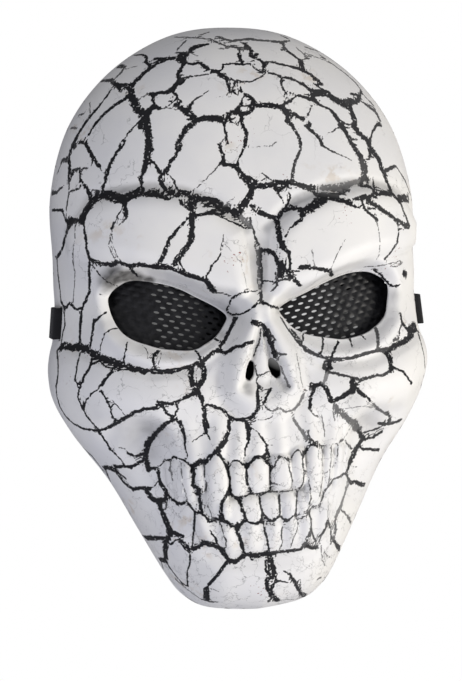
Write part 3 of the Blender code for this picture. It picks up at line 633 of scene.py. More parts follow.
def open_loops(bm):
    """The open edges in groups, one for each loop."""
    left = {e for e in bm.edges if e.is_boundary}
    groups = []
    while left:
        group, grow = [], [left.pop()]
        while grow:
            edge = grow.pop()
            group.append(edge)
            for v in edge.verts:
                for other in v.link_edges:
                    if other in left:
                        left.remove(other)
                        grow.append(other)
        groups.append(group)
    return groups


def middle_of(edges):
    return sum((v.co for e in edges for v in e.verts), Vector()) / (2 * len(edges))


open_slots(outer_bm)
open_slots(inner_bm)
outer_mark = outer_bm.verts.layers.float.new("outside")
for vert in outer_bm.verts:
    vert[outer_mark] = 1.0
bmesh.ops.reverse_faces(inner_bm, faces=inner_bm.faces)
inner_mesh = bpy.data.meshes.new("inner")
inner_bm.to_mesh(inner_mesh)
inner_bm.free()
outer_bm.from_mesh(inner_mesh)
bpy.data.meshes.remove(inner_mesh)
shell_bm = outer_bm
outer_mark = shell_bm.verts.layers.float["outside"]
groups = open_loops(shell_bm)
outer_loops = [g for g in groups if g[0].verts[0][outer_mark] > 0.5]
inner_loops = [g for g in groups if g[0].verts[0][outer_mark] < 0.5]
print("open loops outside and inside:", len(outer_loops), len(inner_loops))
for group in outer_loops:
    partner = min(inner_loops, key=lambda g: (middle_of(g) - middle_of(group)).length
                  + abs(len(g) * 2 - len(group)))
    bmesh.ops.bridge_loops(shell_bm, edges=group + partner)
bmesh.ops.triangulate(shell_bm, faces=[f for f in shell_bm.faces if len(f.verts) > 4])
bmesh.ops.recalc_face_normals(shell_bm, faces=shell_bm.faces)
print("open edges left:", sum(e.is_boundary for e in shell_bm.edges),
      " volume, litres:", round(shell_bm.calc_volume(signed=True) * 1e-6, 3),
      " triangles:", sum(len(f.verts) - 2 for f in shell_bm.faces))

# %% [markdown]
# ## Tools for finishes
#
# Every finish is a small graph of nodes. One helper adds a node, sets it up and feeds it, so a pattern
# reads as a short list of steps. Patterns run on Object coordinates in millimetres, as all pieces lie at
# the origin.

# %% Node helpers
def add_node(tree, kind, feeds, **settings):
    """Add a node, set its options, and feed its inputs from sockets or numbers."""
    node = tree.nodes.new(kind)
    for key, value in settings.items():
        setattr(node, key, value)
    for key, source in feeds.items():
        if isinstance(source, bpy.types.NodeSocket):
            tree.links.new(source, node.inputs[key])
        else:
            node.inputs[key].default_value = source
    return node


def maths(tree, operation, a, b=0.0, c=0.0):
    return add_node(tree, "ShaderNodeMath", {0: a, 1: b, 2: c}, operation=operation).outputs[0]


def ramp(tree, value, low, high, out_low=0.0, out_high=1.0):
    """A smooth step of a value between two limits."""
    feeds = {"Value": value, "From Min": low, "From Max": high, "To Min": out_low, "To Max": out_high}
    return add_node(tree, "ShaderNodeMapRange", feeds, interpolation_type="SMOOTHSTEP").outputs["Result"]


def blend(tree, share, first, second):
    """A colour between two colours."""
    node = add_node(tree, "ShaderNodeMix", {0: share}, data_type="RGBA")
    for socket, colour in ((node.inputs[6], first), (node.inputs[7], second)):
        if isinstance(colour, bpy.types.NodeSocket):
            tree.links.new(colour, socket)
        else:
            socket.default_value = (*colour, 1.0)
    return node.outputs[2]


def in_millimetres(tree):
    """Object coordinates, scaled to millimetres."""
    place = tree.nodes.new("ShaderNodeTexCoord").outputs["Object"]
    return add_node(tree, "ShaderNodeVectorMath", {0: place, "Scale": 1000.0}, operation="SCALE").outputs[0]


def grain(tree, place, size, detail=2.0, rough=0.5):
    """Noise around 0.5 with spots of about that size in millimetres."""
    feeds = {"Vector": place, "Scale": 1.0 / size, "Detail": detail, "Roughness": rough}
    return add_node(tree, "ShaderNodeTexNoise", feeds).outputs["Fac"]


def relief_of(tree, shader, height, depth, before=None):
    """A bump of a depth in millimetres, on top of another one if given."""
    feeds = {"Height": height, "Distance": depth * MM, "Strength": 1.0}
    if before is not None:
        feeds["Normal"] = before
    out = add_node(tree, "ShaderNodeBump", feeds).outputs["Normal"]
    tree.links.new(out, shader.inputs["Normal"])
    return out


print("helpers ready")

# %% [markdown]
# ## Where the cracks run
#
# The real finish is black under white: the white coat was let crack, and the black was rubbed into the
# lines. The main cracks were charted region by region, as places of the photograph, and are laid onto the
# shell along the camera's lines of sight. Drawing them as geometry would cost millions of faces, so each
# point of the shell keeps the way to the nearest crack, and the finish turns that into a ragged line.

# %% Crack chart: width at start and end in millimetres, darkness, places in the photograph
CRACKS = {
    "left_side": [
        (1.0, 0.8, 0.8, [(125, 67), (119, 75), (112, 81)]),
        (1.6, 1.4, 0.9, [(119, 66), (125, 67)]),
        (0.3, 0.3, 0.6, [(126, 69), (137, 66)]),
        (0.8, 1.6, 0.9, [(101, 81), (111, 80), (113, 84)]),
        (1.6, 2.2, 1.0, [(112, 83), (118, 85), (129, 86)]),
        (1.8, 1.6, 1.0, [(116, 86), (121, 91)]),
        (0.6, 1.4, 1.0, [(112, 89), (106, 97), (96, 110), (86, 122), (78, 134), (75, 141)]),
        (1.8, 0.8, 1.0, [(128, 97), (115, 105), (104, 114), (93, 127), (88, 136)]),
        (0.4, 0.4, 0.7, [(90, 102), (90, 115)]),
        (0.6, 0.6, 0.8, [(79, 115), (84, 114)]),
        (0.8, 0.8, 0.7, [(71, 128), (77, 128)]),
        (1.4, 1.0, 1.0, [(75, 141), (71, 149), (69, 157), (69, 182)]),
        (1.6, 1.6, 0.9, [(73, 143), (75, 147)]),
        (0.7, 0.5, 0.9, [(69, 182), (69, 192), (66, 212)]),
        (1.4, 1.4, 0.9, [(62, 161), (69, 159)]),
        (0.6, 0.6, 0.9, [(57, 174), (62, 162)]),
        (1.2, 0.8, 1.0, [(69, 160), (72, 176)]),
        (1.8, 1.8, 1.0, [(80, 142), (85, 143), (92, 155), (99, 167)]),
        (0.6, 0.5, 1.0, [(99, 167), (105, 174)]),
        (1.4, 0.8, 0.9, [(74, 170), (80, 168), (88, 168)]),
        (0.8, 2.0, 1.0, [(80, 170), (80, 180), (88, 189), (91, 200)]),
        (1.0, 0.8, 1.0, [(70, 191), (79, 189), (81, 185)]),
        (0.6, 0.6, 0.9, [(91, 190), (100, 190)]),
        (1.4, 1.2, 0.9, [(52, 193), (58, 192)]),
        (0.7, 0.6, 0.9, [(59, 189), (63, 187)]),
        (1.4, 1.2, 1.0, [(52, 210), (62, 210)]),
        (0.9, 0.9, 1.0, [(62, 210), (67, 222)]),
    ],
    "forehead_left": [
        (0.5, 1.4, 1.0, [(134, 55), (143, 55), (147, 57), (145, 62), (151, 66)]),
        (2.0, 1.0, 1.0, [(184, 57), (176, 58), (154, 59)]),
        (1.0, 2.0, 1.0, [(166, 60), (155, 65), (145, 72), (137, 80), (130, 88)]),
        (2.6, 4.0, 1.0, [(128, 86), (131, 92), (134, 104)]),
        (4.0, 3.4, 1.0, [(134, 104), (137, 109), (146, 115)]),
        (3.0, 2.4, 1.0, [(146, 115), (143, 120), (141, 127)]),
        (2.0, 1.6, 1.0, [(185, 79), (172, 89), (166, 92), (152, 94), (147, 94)]),
        (0.4, 0.4, 0.8, [(141, 97), (148, 94)]),
        (1.4, 1.0, 1.0, [(172, 90), (181, 102)]),
        (1.4, 1.8, 1.0, [(154, 95), (153, 102), (156, 107), (162, 109)]),
        (1.8, 2.6, 1.0, [(154, 106), (147, 112), (146, 116)]),
        (0.5, 0.5, 0.8, [(162, 109), (168, 108), (178, 110)]),
        (0.8, 2.4, 1.0, [(169, 101), (187, 111)]),
        (0.9, 0.8, 1.0, [(140, 121), (128, 133), (120, 145)]),
        (1.4, 1.8, 1.0, [(124, 144), (114, 156), (108, 170)]),
        (1.8, 1.2, 1.0, [(108, 170), (105, 182), (102, 191)]),
        (3.0, 3.6, 1.0, [(147, 116), (147, 124), (149, 141), (149, 149)]),
        (3.6, 1.8, 1.0, [(149, 149), (146, 163), (142, 177)]),
        (1.0, 1.4, 1.0, [(139, 178), (144, 191)]),
        (2.6, 1.4, 1.0, [(185, 129), (182, 136), (176, 146)]),
        (1.6, 1.6, 1.0, [(181, 146), (175, 157), (170, 161), (169, 167), (161, 175)]),
        (1.4, 1.4, 1.0, [(151, 161), (155, 164), (161, 175)]),
        (1.8, 2.8, 1.0, [(161, 175), (160, 181), (166, 191), (179, 195)]),
        (0.8, 0.9, 1.0, [(167, 173), (174, 181), (180, 196)]),
        (0.5, 0.7, 0.9, [(185, 41), (176, 51)]),
    ],
    "left_brow_band": [
        (2.4, 3.2, 1.0, [(83, 221), (84, 213), (93, 201)]),
        (3.4, 4.6, 1.0, [(93, 200), (100, 196), (107, 195), (123, 199)]),
        (4.2, 3.6, 1.0, [(123, 199), (138, 192), (154, 193)]),
        (3.2, 1.6, 1.0, [(154, 193), (168, 199)]),
        (2.6, 1.2, 1.0, [(125, 201), (125, 207), (127, 213), (126, 219)]),
        (0.9, 0.4, 0.9, [(126, 219), (119, 225)]),
        (0.6, 1.2, 1.0, [(122, 209), (114, 223), (111, 231)]),
        (2.4, 3.0, 1.0, [(179, 192), (186, 193), (200, 200), (208, 199), (215, 201)]),
        (1.6, 1.6, 1.0, [(180, 200), (183, 205), (191, 211)]),
        (1.4, 1.4, 1.0, [(197, 202), (191, 210)]),
        (2.2, 3.2, 1.0, [(190, 198), (190, 206), (192, 214), (192, 222)]),
        (1.2, 1.2, 1.0, [(205, 205), (217, 208)]),
        (3.6, 3.2, 1.0, [(215, 202), (227, 209), (240, 216)]),
        (2.0, 1.2, 1.0, [(194, 215), (209, 213), (218, 214), (231, 211)]),
        (2.0, 1.6, 0.6, [(241, 217), (253, 229)]),
        (0.7, 0.3, 0.8, [(220, 164), (207, 178), (195, 189)]),
        (0.4, 0.4, 0.5, [(227, 203), (235, 197)]),
    ],
    "forehead_middle": [
        (2.4, 2.0, 1.0, [(177, 58), (181, 55), (188, 54), (191, 50)]),
        (2.4, 0.8, 1.0, [(191, 50), (194, 47), (209, 44)]),
        (2.6, 2.6, 1.0, [(177, 58), (186, 63)]),
        (1.6, 2.2, 1.0, [(184, 63), (178, 74), (179, 80), (176, 85)]),
        (0.5, 0.5, 0.8, [(189, 52), (197, 56)]),
        (1.2, 1.4, 1.0, [(186, 63), (192, 64), (200, 63)]),
        (1.6, 2.0, 1.0, [(200, 63), (209, 70), (218, 72)]),
        (2.2, 2.0, 1.0, [(217, 71), (220, 75), (229, 79)]),
        (1.0, 1.0, 1.0, [(218, 71), (223, 69), (223, 64), (251, 64)]),
        (1.4, 1.4, 1.0, [(240, 52), (239, 56), (243, 64)]),
        (1.2, 1.2, 1.0, [(250, 53), (251, 56), (265, 63)]),
        (1.0, 1.0, 1.0, [(251, 51), (258, 54), (255, 55)]),
        (1.8, 1.2, 1.0, [(265, 62), (263, 71)]),
        (1.0, 1.4, 0.95, [(265, 62), (272, 62), (297, 68), (310, 74), (321, 83)]),
        (0.8, 1.2, 0.95, [(253, 66), (256, 70), (274, 74), (281, 77)]),
        (1.2, 1.6, 0.95, [(281, 77), (289, 78), (303, 84), (312, 92)]),
        (0.9, 0.9, 0.95, [(229, 78), (236, 81), (251, 82), (264, 75)]),
        (1.6, 1.2, 1.0, [(238, 80), (234, 86)]),
        (1.6, 1.0, 1.0, [(226, 79), (229, 88), (236, 94)]),
        (0.8, 0.6, 1.0, [(231, 91), (226, 95)]),
        (0.8, 1.6, 1.0, [(241, 86), (240, 91), (250, 97)]),
        (1.8, 2.6, 1.0, [(250, 97), (257, 105)]),
        (2.4, 2.8, 1.0, [(256, 105), (270, 105), (283, 108)]),
        (0.5, 1.6, 1.0, [(243, 106), (255, 105)]),
        (0.6, 2.2, 1.0, [(243, 97), (242, 101), (236, 112)]),
        (2.2, 1.2, 1.0, [(230, 113), (248, 114), (255, 107)]),
        (1.8, 2.2, 1.0, [(228, 119), (228, 114), (232, 113)]),
        (1.6, 1.6, 1.0, [(240, 115), (241, 121), (247, 134), (245, 145)]),
        (1.4, 0.6, 1.0, [(245, 145), (236, 165)]),
        (2.8, 3.2, 1.0, [(192, 116), (197, 119), (211, 118), (226, 120)]),
        (2.4, 1.0, 1.0, [(226, 120), (232, 122)]),
        (0.5, 0.5, 0.9, [(232, 122), (238, 126)]),
        (3.2, 2.6, 1.0, [(196, 120), (185, 131)]),
        (2.2, 3.0, 1.0, [(176, 104), (192, 116)]),
        (2.0, 1.2, 1.0, [(188, 110), (193, 101)]),
        (1.2, 0.4, 0.9, [(193, 101), (204, 94), (209, 90)]),
        (1.4, 0.4, 0.95, [(180, 80), (187, 77), (209, 74)]),
        (0.5, 0.3, 0.6, [(216, 97), (230, 97)]),
        (1.0, 1.0, 0.95, [(289, 52), (300, 60)]),
        (2.2, 1.8, 0.95, [(300, 60), (303, 68)]),
        (0.5, 0.4, 0.8, [(300, 60), (311, 58)]),
        (1.4, 0.8, 0.95, [(281, 80), (282, 87), (285, 92), (284, 97)]),
        (0.8, 1.8, 0.95, [(290, 93), (304, 97), (312, 100)]),
        (2.0, 0.8, 0.95, [(282, 106), (297, 96)]),
        (2.4, 1.2, 0.95, [(283, 108), (299, 117), (311, 124)]),
        (1.4, 1.8, 0.95, [(283, 111), (287, 115), (287, 120), (292, 125)]),
        (1.0, 1.0, 0.95, [(287, 114), (291, 114), (291, 118)]),
        (0.5, 1.0, 0.9, [(311, 107), (306, 119)]),
        (2.6, 2.6, 0.95, [(312, 91), (313, 100)]),
        (1.0, 1.0, 1.0, [(224, 121), (225, 130), (228, 143)]),
        (0.6, 0.6, 0.9, [(224, 138), (221, 143)]),
        (1.2, 2.2, 1.0, [(219, 145), (223, 156), (223, 163)]),
        (1.8, 2.0, 1.0, [(221, 163), (238, 167)]),
        (2.4, 3.4, 1.0, [(236, 166), (244, 178), (250, 184)]),
        (1.6, 1.2, 1.0, [(249, 177), (256, 182)]),
        (2.8, 2.8, 1.0, [(250, 185), (266, 186), (273, 184)]),
        (0.8, 0.8, 0.9, [(262, 173), (272, 180)]),
        (1.4, 1.6, 1.0, [(272, 184), (277, 181), (290, 182)]),
        (1.8, 1.4, 1.0, [(272, 185), (282, 189), (290, 183)]),
        (2.4, 2.8, 0.95, [(290, 182), (305, 187), (314, 188)]),
        (2.4, 3.4, 1.0, [(253, 187), (250, 195), (238, 211)]),
        (1.4, 0.6, 1.0, [(250, 205), (262, 208)]),
        (0.8, 2.4, 1.0, [(252, 208), (258, 213), (274, 218)]),
        (2.6, 1.0, 1.0, [(277, 219), (282, 212), (290, 200)]),
        (1.0, 1.0, 1.0, [(289, 192), (291, 201)]),
        (1.0, 0.7, 1.0, [(275, 189), (283, 200), (284, 204)]),
        (1.6, 1.6, 1.0, [(286, 211), (292, 208), (301, 209)]),
        (1.8, 1.4, 0.95, [(287, 121), (296, 131), (299, 138), (301, 146)]),
        (1.2, 1.4, 0.9, [(301, 147), (295, 163), (291, 181)]),
        (0.4, 0.4, 0.6, [(251, 147), (271, 146), (278, 140)]),
    ],
    "forehead_right": [
        (1.6, 1.6, 0.95, [(306, 126), (315, 134), (319, 138), (322, 145)]),
        (1.2, 0.3, 0.9, [(322, 145), (336, 153), (352, 160)]),
        (0.3, 0.8, 0.9, [(324, 136), (339, 127)]),
        (2.0, 2.0, 0.95, [(339, 121), (347, 134), (350, 141)]),
        (2.2, 2.4, 0.95, [(350, 141), (361, 157)]),
        (3.4, 3.2, 0.85, [(363, 160), (365, 174), (363, 179)]),
        (1.6, 1.6, 0.9, [(366, 176), (367, 181)]),
        (2.4, 2.0, 0.95, [(355, 121), (354, 127), (358, 132), (369, 142)]),
        (2.6, 2.2, 0.95, [(369, 142), (371, 153)]),
        (2.2, 1.6, 0.95, [(372, 151), (380, 161), (381, 168)]),
        (1.6, 1.2, 0.95, [(381, 168), (391, 191)]),
        (0.8, 0.8, 0.9, [(350, 136), (353, 140), (359, 139)]),
        (0.8, 0.8, 0.9, [(364, 160), (370, 159)]),
        (1.2, 1.2, 0.9, [(370, 141), (372, 133), (377, 124), (381, 125)]),
        (2.0, 1.8, 0.9, [(383, 172), (395, 166)]),
        (0.6, 0.6, 0.8, [(396, 166), (405, 180), (411, 196)]),
        (0.3, 1.4, 0.9, [(373, 178), (374, 193)]),
        (1.6, 0.8, 0.9, [(362, 186), (379, 188)]),
        (3.0, 3.4, 0.5, [(323, 188), (339, 189), (345, 187)]),
        (3.2, 2.2, 0.45, [(345, 186), (358, 181)]),
        (1.4, 1.4, 0.9, [(335, 191), (342, 192), (347, 190)]),
        (0.8, 2.4, 0.85, [(310, 191), (316, 195), (335, 196)]),
        (4.2, 4.4, 1.0, [(303, 212), (310, 208), (323, 199)]),
        (3.2, 1.2, 1.0, [(303, 213), (301, 219), (290, 228)]),
        (3.0, 2.4, 1.0, [(323, 198), (331, 197), (347, 202)]),
        (2.4, 0.6, 1.0, [(347, 202), (360, 209)]),
        (1.2, 2.4, 0.95, [(353, 199), (366, 196), (369, 200)]),
        (2.2, 1.6, 0.95, [(369, 201), (384, 211), (398, 221)]),
        (1.4, 1.4, 0.9, [(398, 221), (409, 228)]),
        (1.2, 1.4, 0.95, [(361, 199), (364, 208), (377, 220)]),
        (1.4, 2.2, 0.95, [(370, 196), (383, 193), (391, 193)]),
        (2.0, 1.2, 0.95, [(391, 192), (400, 202)]),
        (1.0, 0.6, 0.9, [(400, 202), (410, 227)]),
        (2.4, 2.2, 0.9, [(401, 198), (405, 198)]),
        (1.6, 1.4, 0.9, [(408, 197), (408, 201)]),
        (0.8, 0.8, 0.95, [(314, 83), (320, 88), (329, 92)]),
        (2.0, 2.4, 0.95, [(313, 92), (327, 95), (333, 98)]),
        (2.8, 2.4, 0.95, [(333, 98), (351, 109)]),
        (2.0, 2.6, 0.95, [(351, 109), (355, 121)]),
        (2.4, 2.4, 0.9, [(346, 101), (356, 102), (359, 100)]),
        (1.8, 1.0, 0.9, [(359, 100), (361, 91)]),
        (1.0, 1.0, 0.9, [(351, 94), (359, 95)]),
        (1.8, 1.8, 0.95, [(350, 107), (351, 101)]),
        (0.5, 0.8, 0.7, [(361, 92), (373, 105)]),
        (0.6, 1.4, 0.8, [(360, 100), (376, 112)]),
        (1.2, 0.8, 0.8, [(376, 112), (380, 121)]),
        (1.6, 1.0, 0.95, [(315, 100), (320, 105), (331, 110)]),
        (1.2, 2.2, 0.95, [(331, 110), (339, 121)]),
        (1.0, 1.0, 0.9, [(341, 122), (350, 125), (354, 122)]),
    ],
    "crown": [
        (0.6, 0.7, 0.75, [(175, 37), (200, 38), (210, 39)]),
        (0.6, 0.6, 0.7, [(200, 35), (209, 32)]),
        (0.7, 1.2, 0.85, [(210, 39), (226, 46), (248, 49)]),
        (1.0, 1.2, 0.8, [(218, 37), (232, 41), (248, 39), (280, 42), (289, 41)]),
        (1.6, 1.4, 0.95, [(245, 44), (251, 50)]),
        (1.0, 1.0, 0.8, [(281, 42), (286, 49), (282, 50)]),
        (0.8, 0.8, 0.7, [(282, 36), (289, 39), (288, 42)]),
        (0.4, 0.4, 0.6, [(219, 49), (230, 48)]),
        (0.7, 0.8, 0.7, [(305, 47), (321, 52), (339, 65)]),
        (0.6, 0.8, 0.75, [(320, 55), (346, 74), (356, 83), (361, 90)]),
        (0.5, 0.5, 0.6, [(305, 53), (324, 60), (330, 63)]),
        (0.5, 0.5, 0.6, [(297, 48), (306, 56)]),
    ],
    "left_temple": [
        (1.0, 1.0, 1.0, [(66, 220), (69, 228), (66, 235), (64, 241), (63, 247), (60, 253), (57, 257),
                         (55, 257)]),
        (2.5, 1.5, 1.0, [(70, 222), (77, 221), (84, 222)]),
        (0.4, 0.4, 0.8, [(75, 222), (75, 240), (73, 246), (73, 262), (75, 275), (74, 290), (73, 302)]),
        (1.1, 1.3, 1.0, [(83, 222), (85, 233), (87, 250), (90, 260), (89, 270), (90, 280), (89, 292),
                         (86, 300), (82, 308), (80, 330), (80, 343)]),
        (0.8, 0.8, 1.0, [(57, 260), (58, 275), (60, 290), (61, 302)]),
        (1.0, 1.0, 1.0, [(61, 302), (65, 309), (70, 303), (76, 310), (82, 307)]),
        (0.6, 0.6, 1.0, [(64, 312), (65, 325), (63, 332), (61, 344)]),
        (0.6, 0.6, 0.9, [(116, 220), (111, 232), (109, 245), (111, 253), (115, 259)]),
        (0.4, 0.4, 0.8, [(112, 232), (113, 245), (116, 254), (120, 260)]),
        (1.0, 1.2, 1.0, [(94, 320), (93, 330), (91, 340), (90, 348)]),
        (0.8, 1.0, 1.0, [(106, 312), (99, 317), (95, 322)]),
        (0.4, 0.4, 0.9, [(99, 294), (107, 297)]),
        (0.6, 0.6, 1.0, [(117, 328), (110, 330), (105, 333), (102, 340), (100, 350)]),
    ],
    "left_brow": [
        (1.6, 2.2, 1.0, [(90, 260), (97, 262), (103, 264), (112, 264), (120, 262), (127, 265), (133, 266),
                         (140, 265), (150, 267), (160, 268), (170, 268), (178, 271), (186, 275), (198, 279),
                         (206, 281), (210, 286), (214, 293)]),
        (0.5, 0.5, 0.9, [(93, 265), (100, 275), (107, 282), (117, 286)]),
        (0.8, 0.6, 1.0, [(130, 268), (138, 277)]),
        (1.0, 2.2, 1.0, [(185, 221), (178, 229), (170, 238), (167, 246), (164, 254), (160, 262)]),
        (0.8, 0.8, 1.0, [(185, 245), (178, 255), (174, 260)]),
        (2.8, 2.4, 1.0, [(192, 216), (192, 228), (191, 240), (186, 248), (180, 256), (176, 262)]),
        (1.0, 0.8, 1.0, [(178, 260), (182, 266), (185, 271)]),
        (0.3, 1.0, 1.0, [(225, 231), (222, 242), (220, 256), (212, 266), (206, 278)]),
        (0.3, 0.3, 0.4, [(225, 244), (234, 254), (241, 262), (245, 277), (247, 288)]),
        (0.8, 0.8, 1.0, [(214, 293), (222, 293), (230, 296), (235, 297), (240, 293), (250, 291), (256, 292)]),
        (0.6, 0.8, 1.0, [(219, 216), (234, 223), (243, 227), (250, 229)]),
    ],
    "bridge": [
        (1.0, 1.0, 0.9, [(250, 218), (252, 226), (255, 236), (258, 244), (260, 249)]),
        (0.8, 0.8, 0.6, [(255, 244), (257, 256), (258, 268), (258, 280), (259, 292)]),
        (1.0, 1.6, 0.9, [(261, 250), (261, 262), (261, 275), (261, 288), (261, 303)]),
        (2.0, 2.0, 1.0, [(261, 250), (266, 250), (272, 252), (276, 257), (279, 266), (281, 276)]),
        (2.6, 2.8, 1.0, [(277, 218), (278, 230), (281, 242), (284, 249)]),
        (2.0, 1.0, 1.0, [(284, 249), (289, 253), (290, 262), (289, 270)]),
        (2.2, 1.6, 1.0, [(281, 262), (286, 270), (291, 276), (296, 281), (301, 286)]),
        (0.8, 0.8, 1.0, [(302, 218), (296, 222), (290, 228), (287, 234), (284, 238)]),
        (0.8, 0.8, 1.0, [(289, 270), (295, 271), (300, 271)]),
        (0.8, 0.8, 1.0, [(262, 281), (268, 281), (274, 282)]),
        (1.2, 0.8, 0.9, [(276, 273), (277, 280), (277, 285), (271, 291)]),
        (0.8, 1.0, 0.9, [(277, 280), (284, 279), (290, 280)]),
        (1.4, 1.0, 1.0, [(261, 303), (267, 304), (273, 307), (279, 308)]),
        (1.0, 1.0, 1.0, [(258, 303), (252, 308), (246, 312), (240, 314), (233, 315), (228, 313)]),
        (0.8, 0.8, 1.0, [(226, 311), (229, 305), (232, 299)]),
    ],
    "right_brow": [
        (1.6, 1.8, 1.0, [(300, 267), (305, 267), (312, 268), (320, 269), (330, 271), (332, 276)]),
        (0.4, 0.4, 0.6, [(312, 250), (313, 260), (315, 266)]),
        (0.4, 0.4, 0.6, [(345, 240), (338, 252), (331, 268)]),
        (0.6, 0.4, 0.5, [(376, 220), (379, 232), (380, 245), (379, 255), (376, 260)]),
        (0.8, 0.8, 0.9, [(397, 222), (399, 232), (397, 243), (391, 252), (384, 260)]),
        (0.8, 0.8, 0.9, [(394, 220), (400, 222), (405, 228), (410, 227)]),
        (0.5, 0.5, 0.7, [(365, 267), (385, 265), (400, 261), (403, 262), (398, 266), (391, 267)]),
        (1.0, 1.0, 1.0, [(374, 270), (381, 275), (387, 282), (390, 286), (394, 287), (400, 285)]),
        (2.0, 2.0, 1.0, [(404, 273), (406, 275)]),
    ],
    "left_cheek": [
        (3.2, 3.4, 1.0, [(60, 347), (66, 346), (73, 348), (80, 347), (88, 349), (94, 354), (100, 358),
                         (108, 360), (116, 363), (124, 366), (132, 368), (140, 370), (148, 371)]),
        (1.2, 1.4, 1.0, [(148, 371), (154, 373), (162, 373), (172, 372), (182, 370)]),
        (1.0, 1.0, 1.0, [(136, 367), (145, 369), (155, 370), (165, 370), (175, 369), (183, 368)]),
        (0.8, 0.8, 1.0, [(60, 347), (57, 351), (58, 362), (58, 375), (56, 388), (57, 397), (60, 407),
                         (66, 417), (74, 424), (82, 428), (90, 430)]),
        (0.8, 0.8, 1.0, [(80, 353), (77, 365), (75, 380), (79, 388), (78, 397), (82, 408), (88, 418),
                         (98, 429)]),
        (1.4, 1.2, 1.0, [(92, 359), (90, 367), (85, 375), (81, 384), (79, 390)]),
        (0.8, 0.8, 1.0, [(92, 365), (99, 361), (105, 366), (112, 369)]),
        (1.8, 1.4, 1.0, [(114, 368), (107, 377), (100, 387)]),
        (0.8, 0.8, 1.0, [(99, 388), (90, 395), (85, 402), (84, 410)]),
        (0.9, 0.9, 1.0, [(100, 388), (105, 397), (110, 407), (112, 416), (116, 422)]),
        (0.5, 0.5, 1.0, [(110, 398), (118, 407), (126, 416)]),
        (1.4, 2.0, 1.0, [(105, 429), (113, 425), (120, 421), (127, 417), (136, 412), (145, 409), (155, 408),
                         (162, 405)]),
        (0.8, 0.8, 1.0, [(127, 342), (126, 350), (124, 358), (124, 365)]),
        (1.4, 1.2, 1.0, [(158, 351), (154, 355), (153, 362), (155, 368)]),
        (0.4, 0.4, 0.8, [(143, 345), (147, 351), (148, 358)]),
        (0.4, 0.4, 0.7, [(162, 350), (160, 358), (158, 366)]),
        (0.9, 0.9, 1.0, [(116, 371), (120, 370), (127, 369)]),
        (1.0, 1.8, 1.0, [(157, 402), (165, 403), (172, 404), (180, 400), (188, 396), (194, 394)]),
        (1.4, 1.4, 1.0, [(162, 406), (166, 412), (172, 417), (177, 420)]),
        (1.2, 1.2, 1.0, [(176, 403), (178, 409), (175, 416)]),
    ],
    "nose": [
        (2.0, 1.8, 1.0, [(183, 368), (192, 366), (198, 363), (204, 361), (210, 355), (216, 351), (220, 349)]),
        (1.8, 1.6, 1.0, [(220, 350), (225, 353), (230, 350), (236, 347), (243, 346), (248, 343), (253, 342)]),
        (1.6, 1.6, 1.0, [(236, 318), (231, 328), (226, 338), (220, 347)]),
        (1.0, 1.0, 1.0, [(214, 338), (219, 341)]),
        (1.0, 1.0, 1.0, [(196, 351), (201, 358)]),
        (2.4, 2.6, 1.0, [(200, 363), (204, 370), (204, 378), (200, 384)]),
        (2.6, 3.0, 1.0, [(191, 371), (191, 380), (194, 387), (198, 392)]),
        (2.4, 1.4, 1.0, [(198, 392), (202, 399), (203, 406)]),
        (1.2, 2.2, 1.0, [(205, 405), (213, 406), (221, 409), (227, 415), (235, 419), (243, 420), (250, 418),
                         (257, 411), (259, 403), (257, 397)]),
        (1.6, 1.0, 1.0, [(203, 408), (206, 418), (209, 428)]),
        (2.4, 2.0, 1.0, [(253, 322), (258, 324), (263, 326), (266, 332), (270, 340), (273, 348), (275, 356)]),
        (0.8, 0.8, 0.9, [(261, 328), (260, 338), (257, 348), (253, 356)]),
        (1.0, 1.0, 0.9, [(269, 330), (272, 336), (275, 340)]),
        (1.2, 1.0, 0.8, [(277, 354), (281, 354), (286, 354)]),
        (1.0, 1.0, 0.6, [(276, 360), (281, 368), (285, 378), (290, 388)]),
        (0.8, 0.8, 0.9, [(255, 366), (257, 374), (256, 382), (259, 386), (262, 387)]),
        (0.8, 0.6, 0.9, [(258, 376), (264, 374), (269, 371)]),
        (1.2, 1.8, 1.0, [(258, 388), (257, 396), (259, 402)]),
        (1.2, 1.4, 1.0, [(271, 389), (267, 396), (264, 402)]),
        (0.6, 0.6, 0.8, [(262, 391), (268, 389)]),
        (0.7, 0.7, 0.9, [(262, 403), (267, 408), (273, 411)]),
        (1.0, 1.4, 0.6, [(273, 411), (279, 408), (286, 412), (294, 410), (300, 403), (303, 395)]),
        (0.5, 0.5, 0.8, [(251, 422), (258, 420), (266, 420), (272, 417)]),
    ],
    "right_cheek": [
        (1.6, 1.6, 0.9, [(294, 337), (300, 344), (306, 350), (314, 354), (322, 357), (330, 359), (342, 359),
                         (352, 358), (362, 355), (372, 352), (382, 350), (390, 348)]),
        (1.0, 1.0, 0.9, [(292, 330), (298, 338), (303, 346), (312, 352)]),
        (0.8, 0.8, 0.9, [(281, 318), (287, 328), (294, 337)]),
        (0.8, 0.8, 1.0, [(303, 334), (303, 340), (301, 345)]),
        (1.0, 1.0, 1.0, [(323, 338), (323, 346), (321, 354)]),
        (1.2, 1.2, 1.0, [(338, 342), (334, 350), (331, 358)]),
        (0.8, 0.6, 1.0, [(348, 337), (351, 342), (352, 347)]),
        (0.6, 0.6, 1.0, [(361, 335), (365, 339)]),
        (1.6, 1.6, 0.8, [(376, 328), (378, 337), (378, 344), (378, 349)]),
        (2.6, 2.4, 1.0, [(329, 360), (330, 366), (327, 372)]),
        (1.4, 1.2, 0.9, [(325, 362), (324, 368), (329, 372), (334, 373), (342, 375), (351, 377), (358, 379)]),
        (1.8, 1.4, 0.5, [(328, 373), (325, 380), (322, 385)]),
        (2.0, 2.0, 1.0, [(312, 385), (317, 385), (322, 384), (327, 389), (329, 396), (332, 402)]),
        (1.6, 1.6, 1.0, [(314, 386), (312, 394), (310, 402), (310, 410)]),
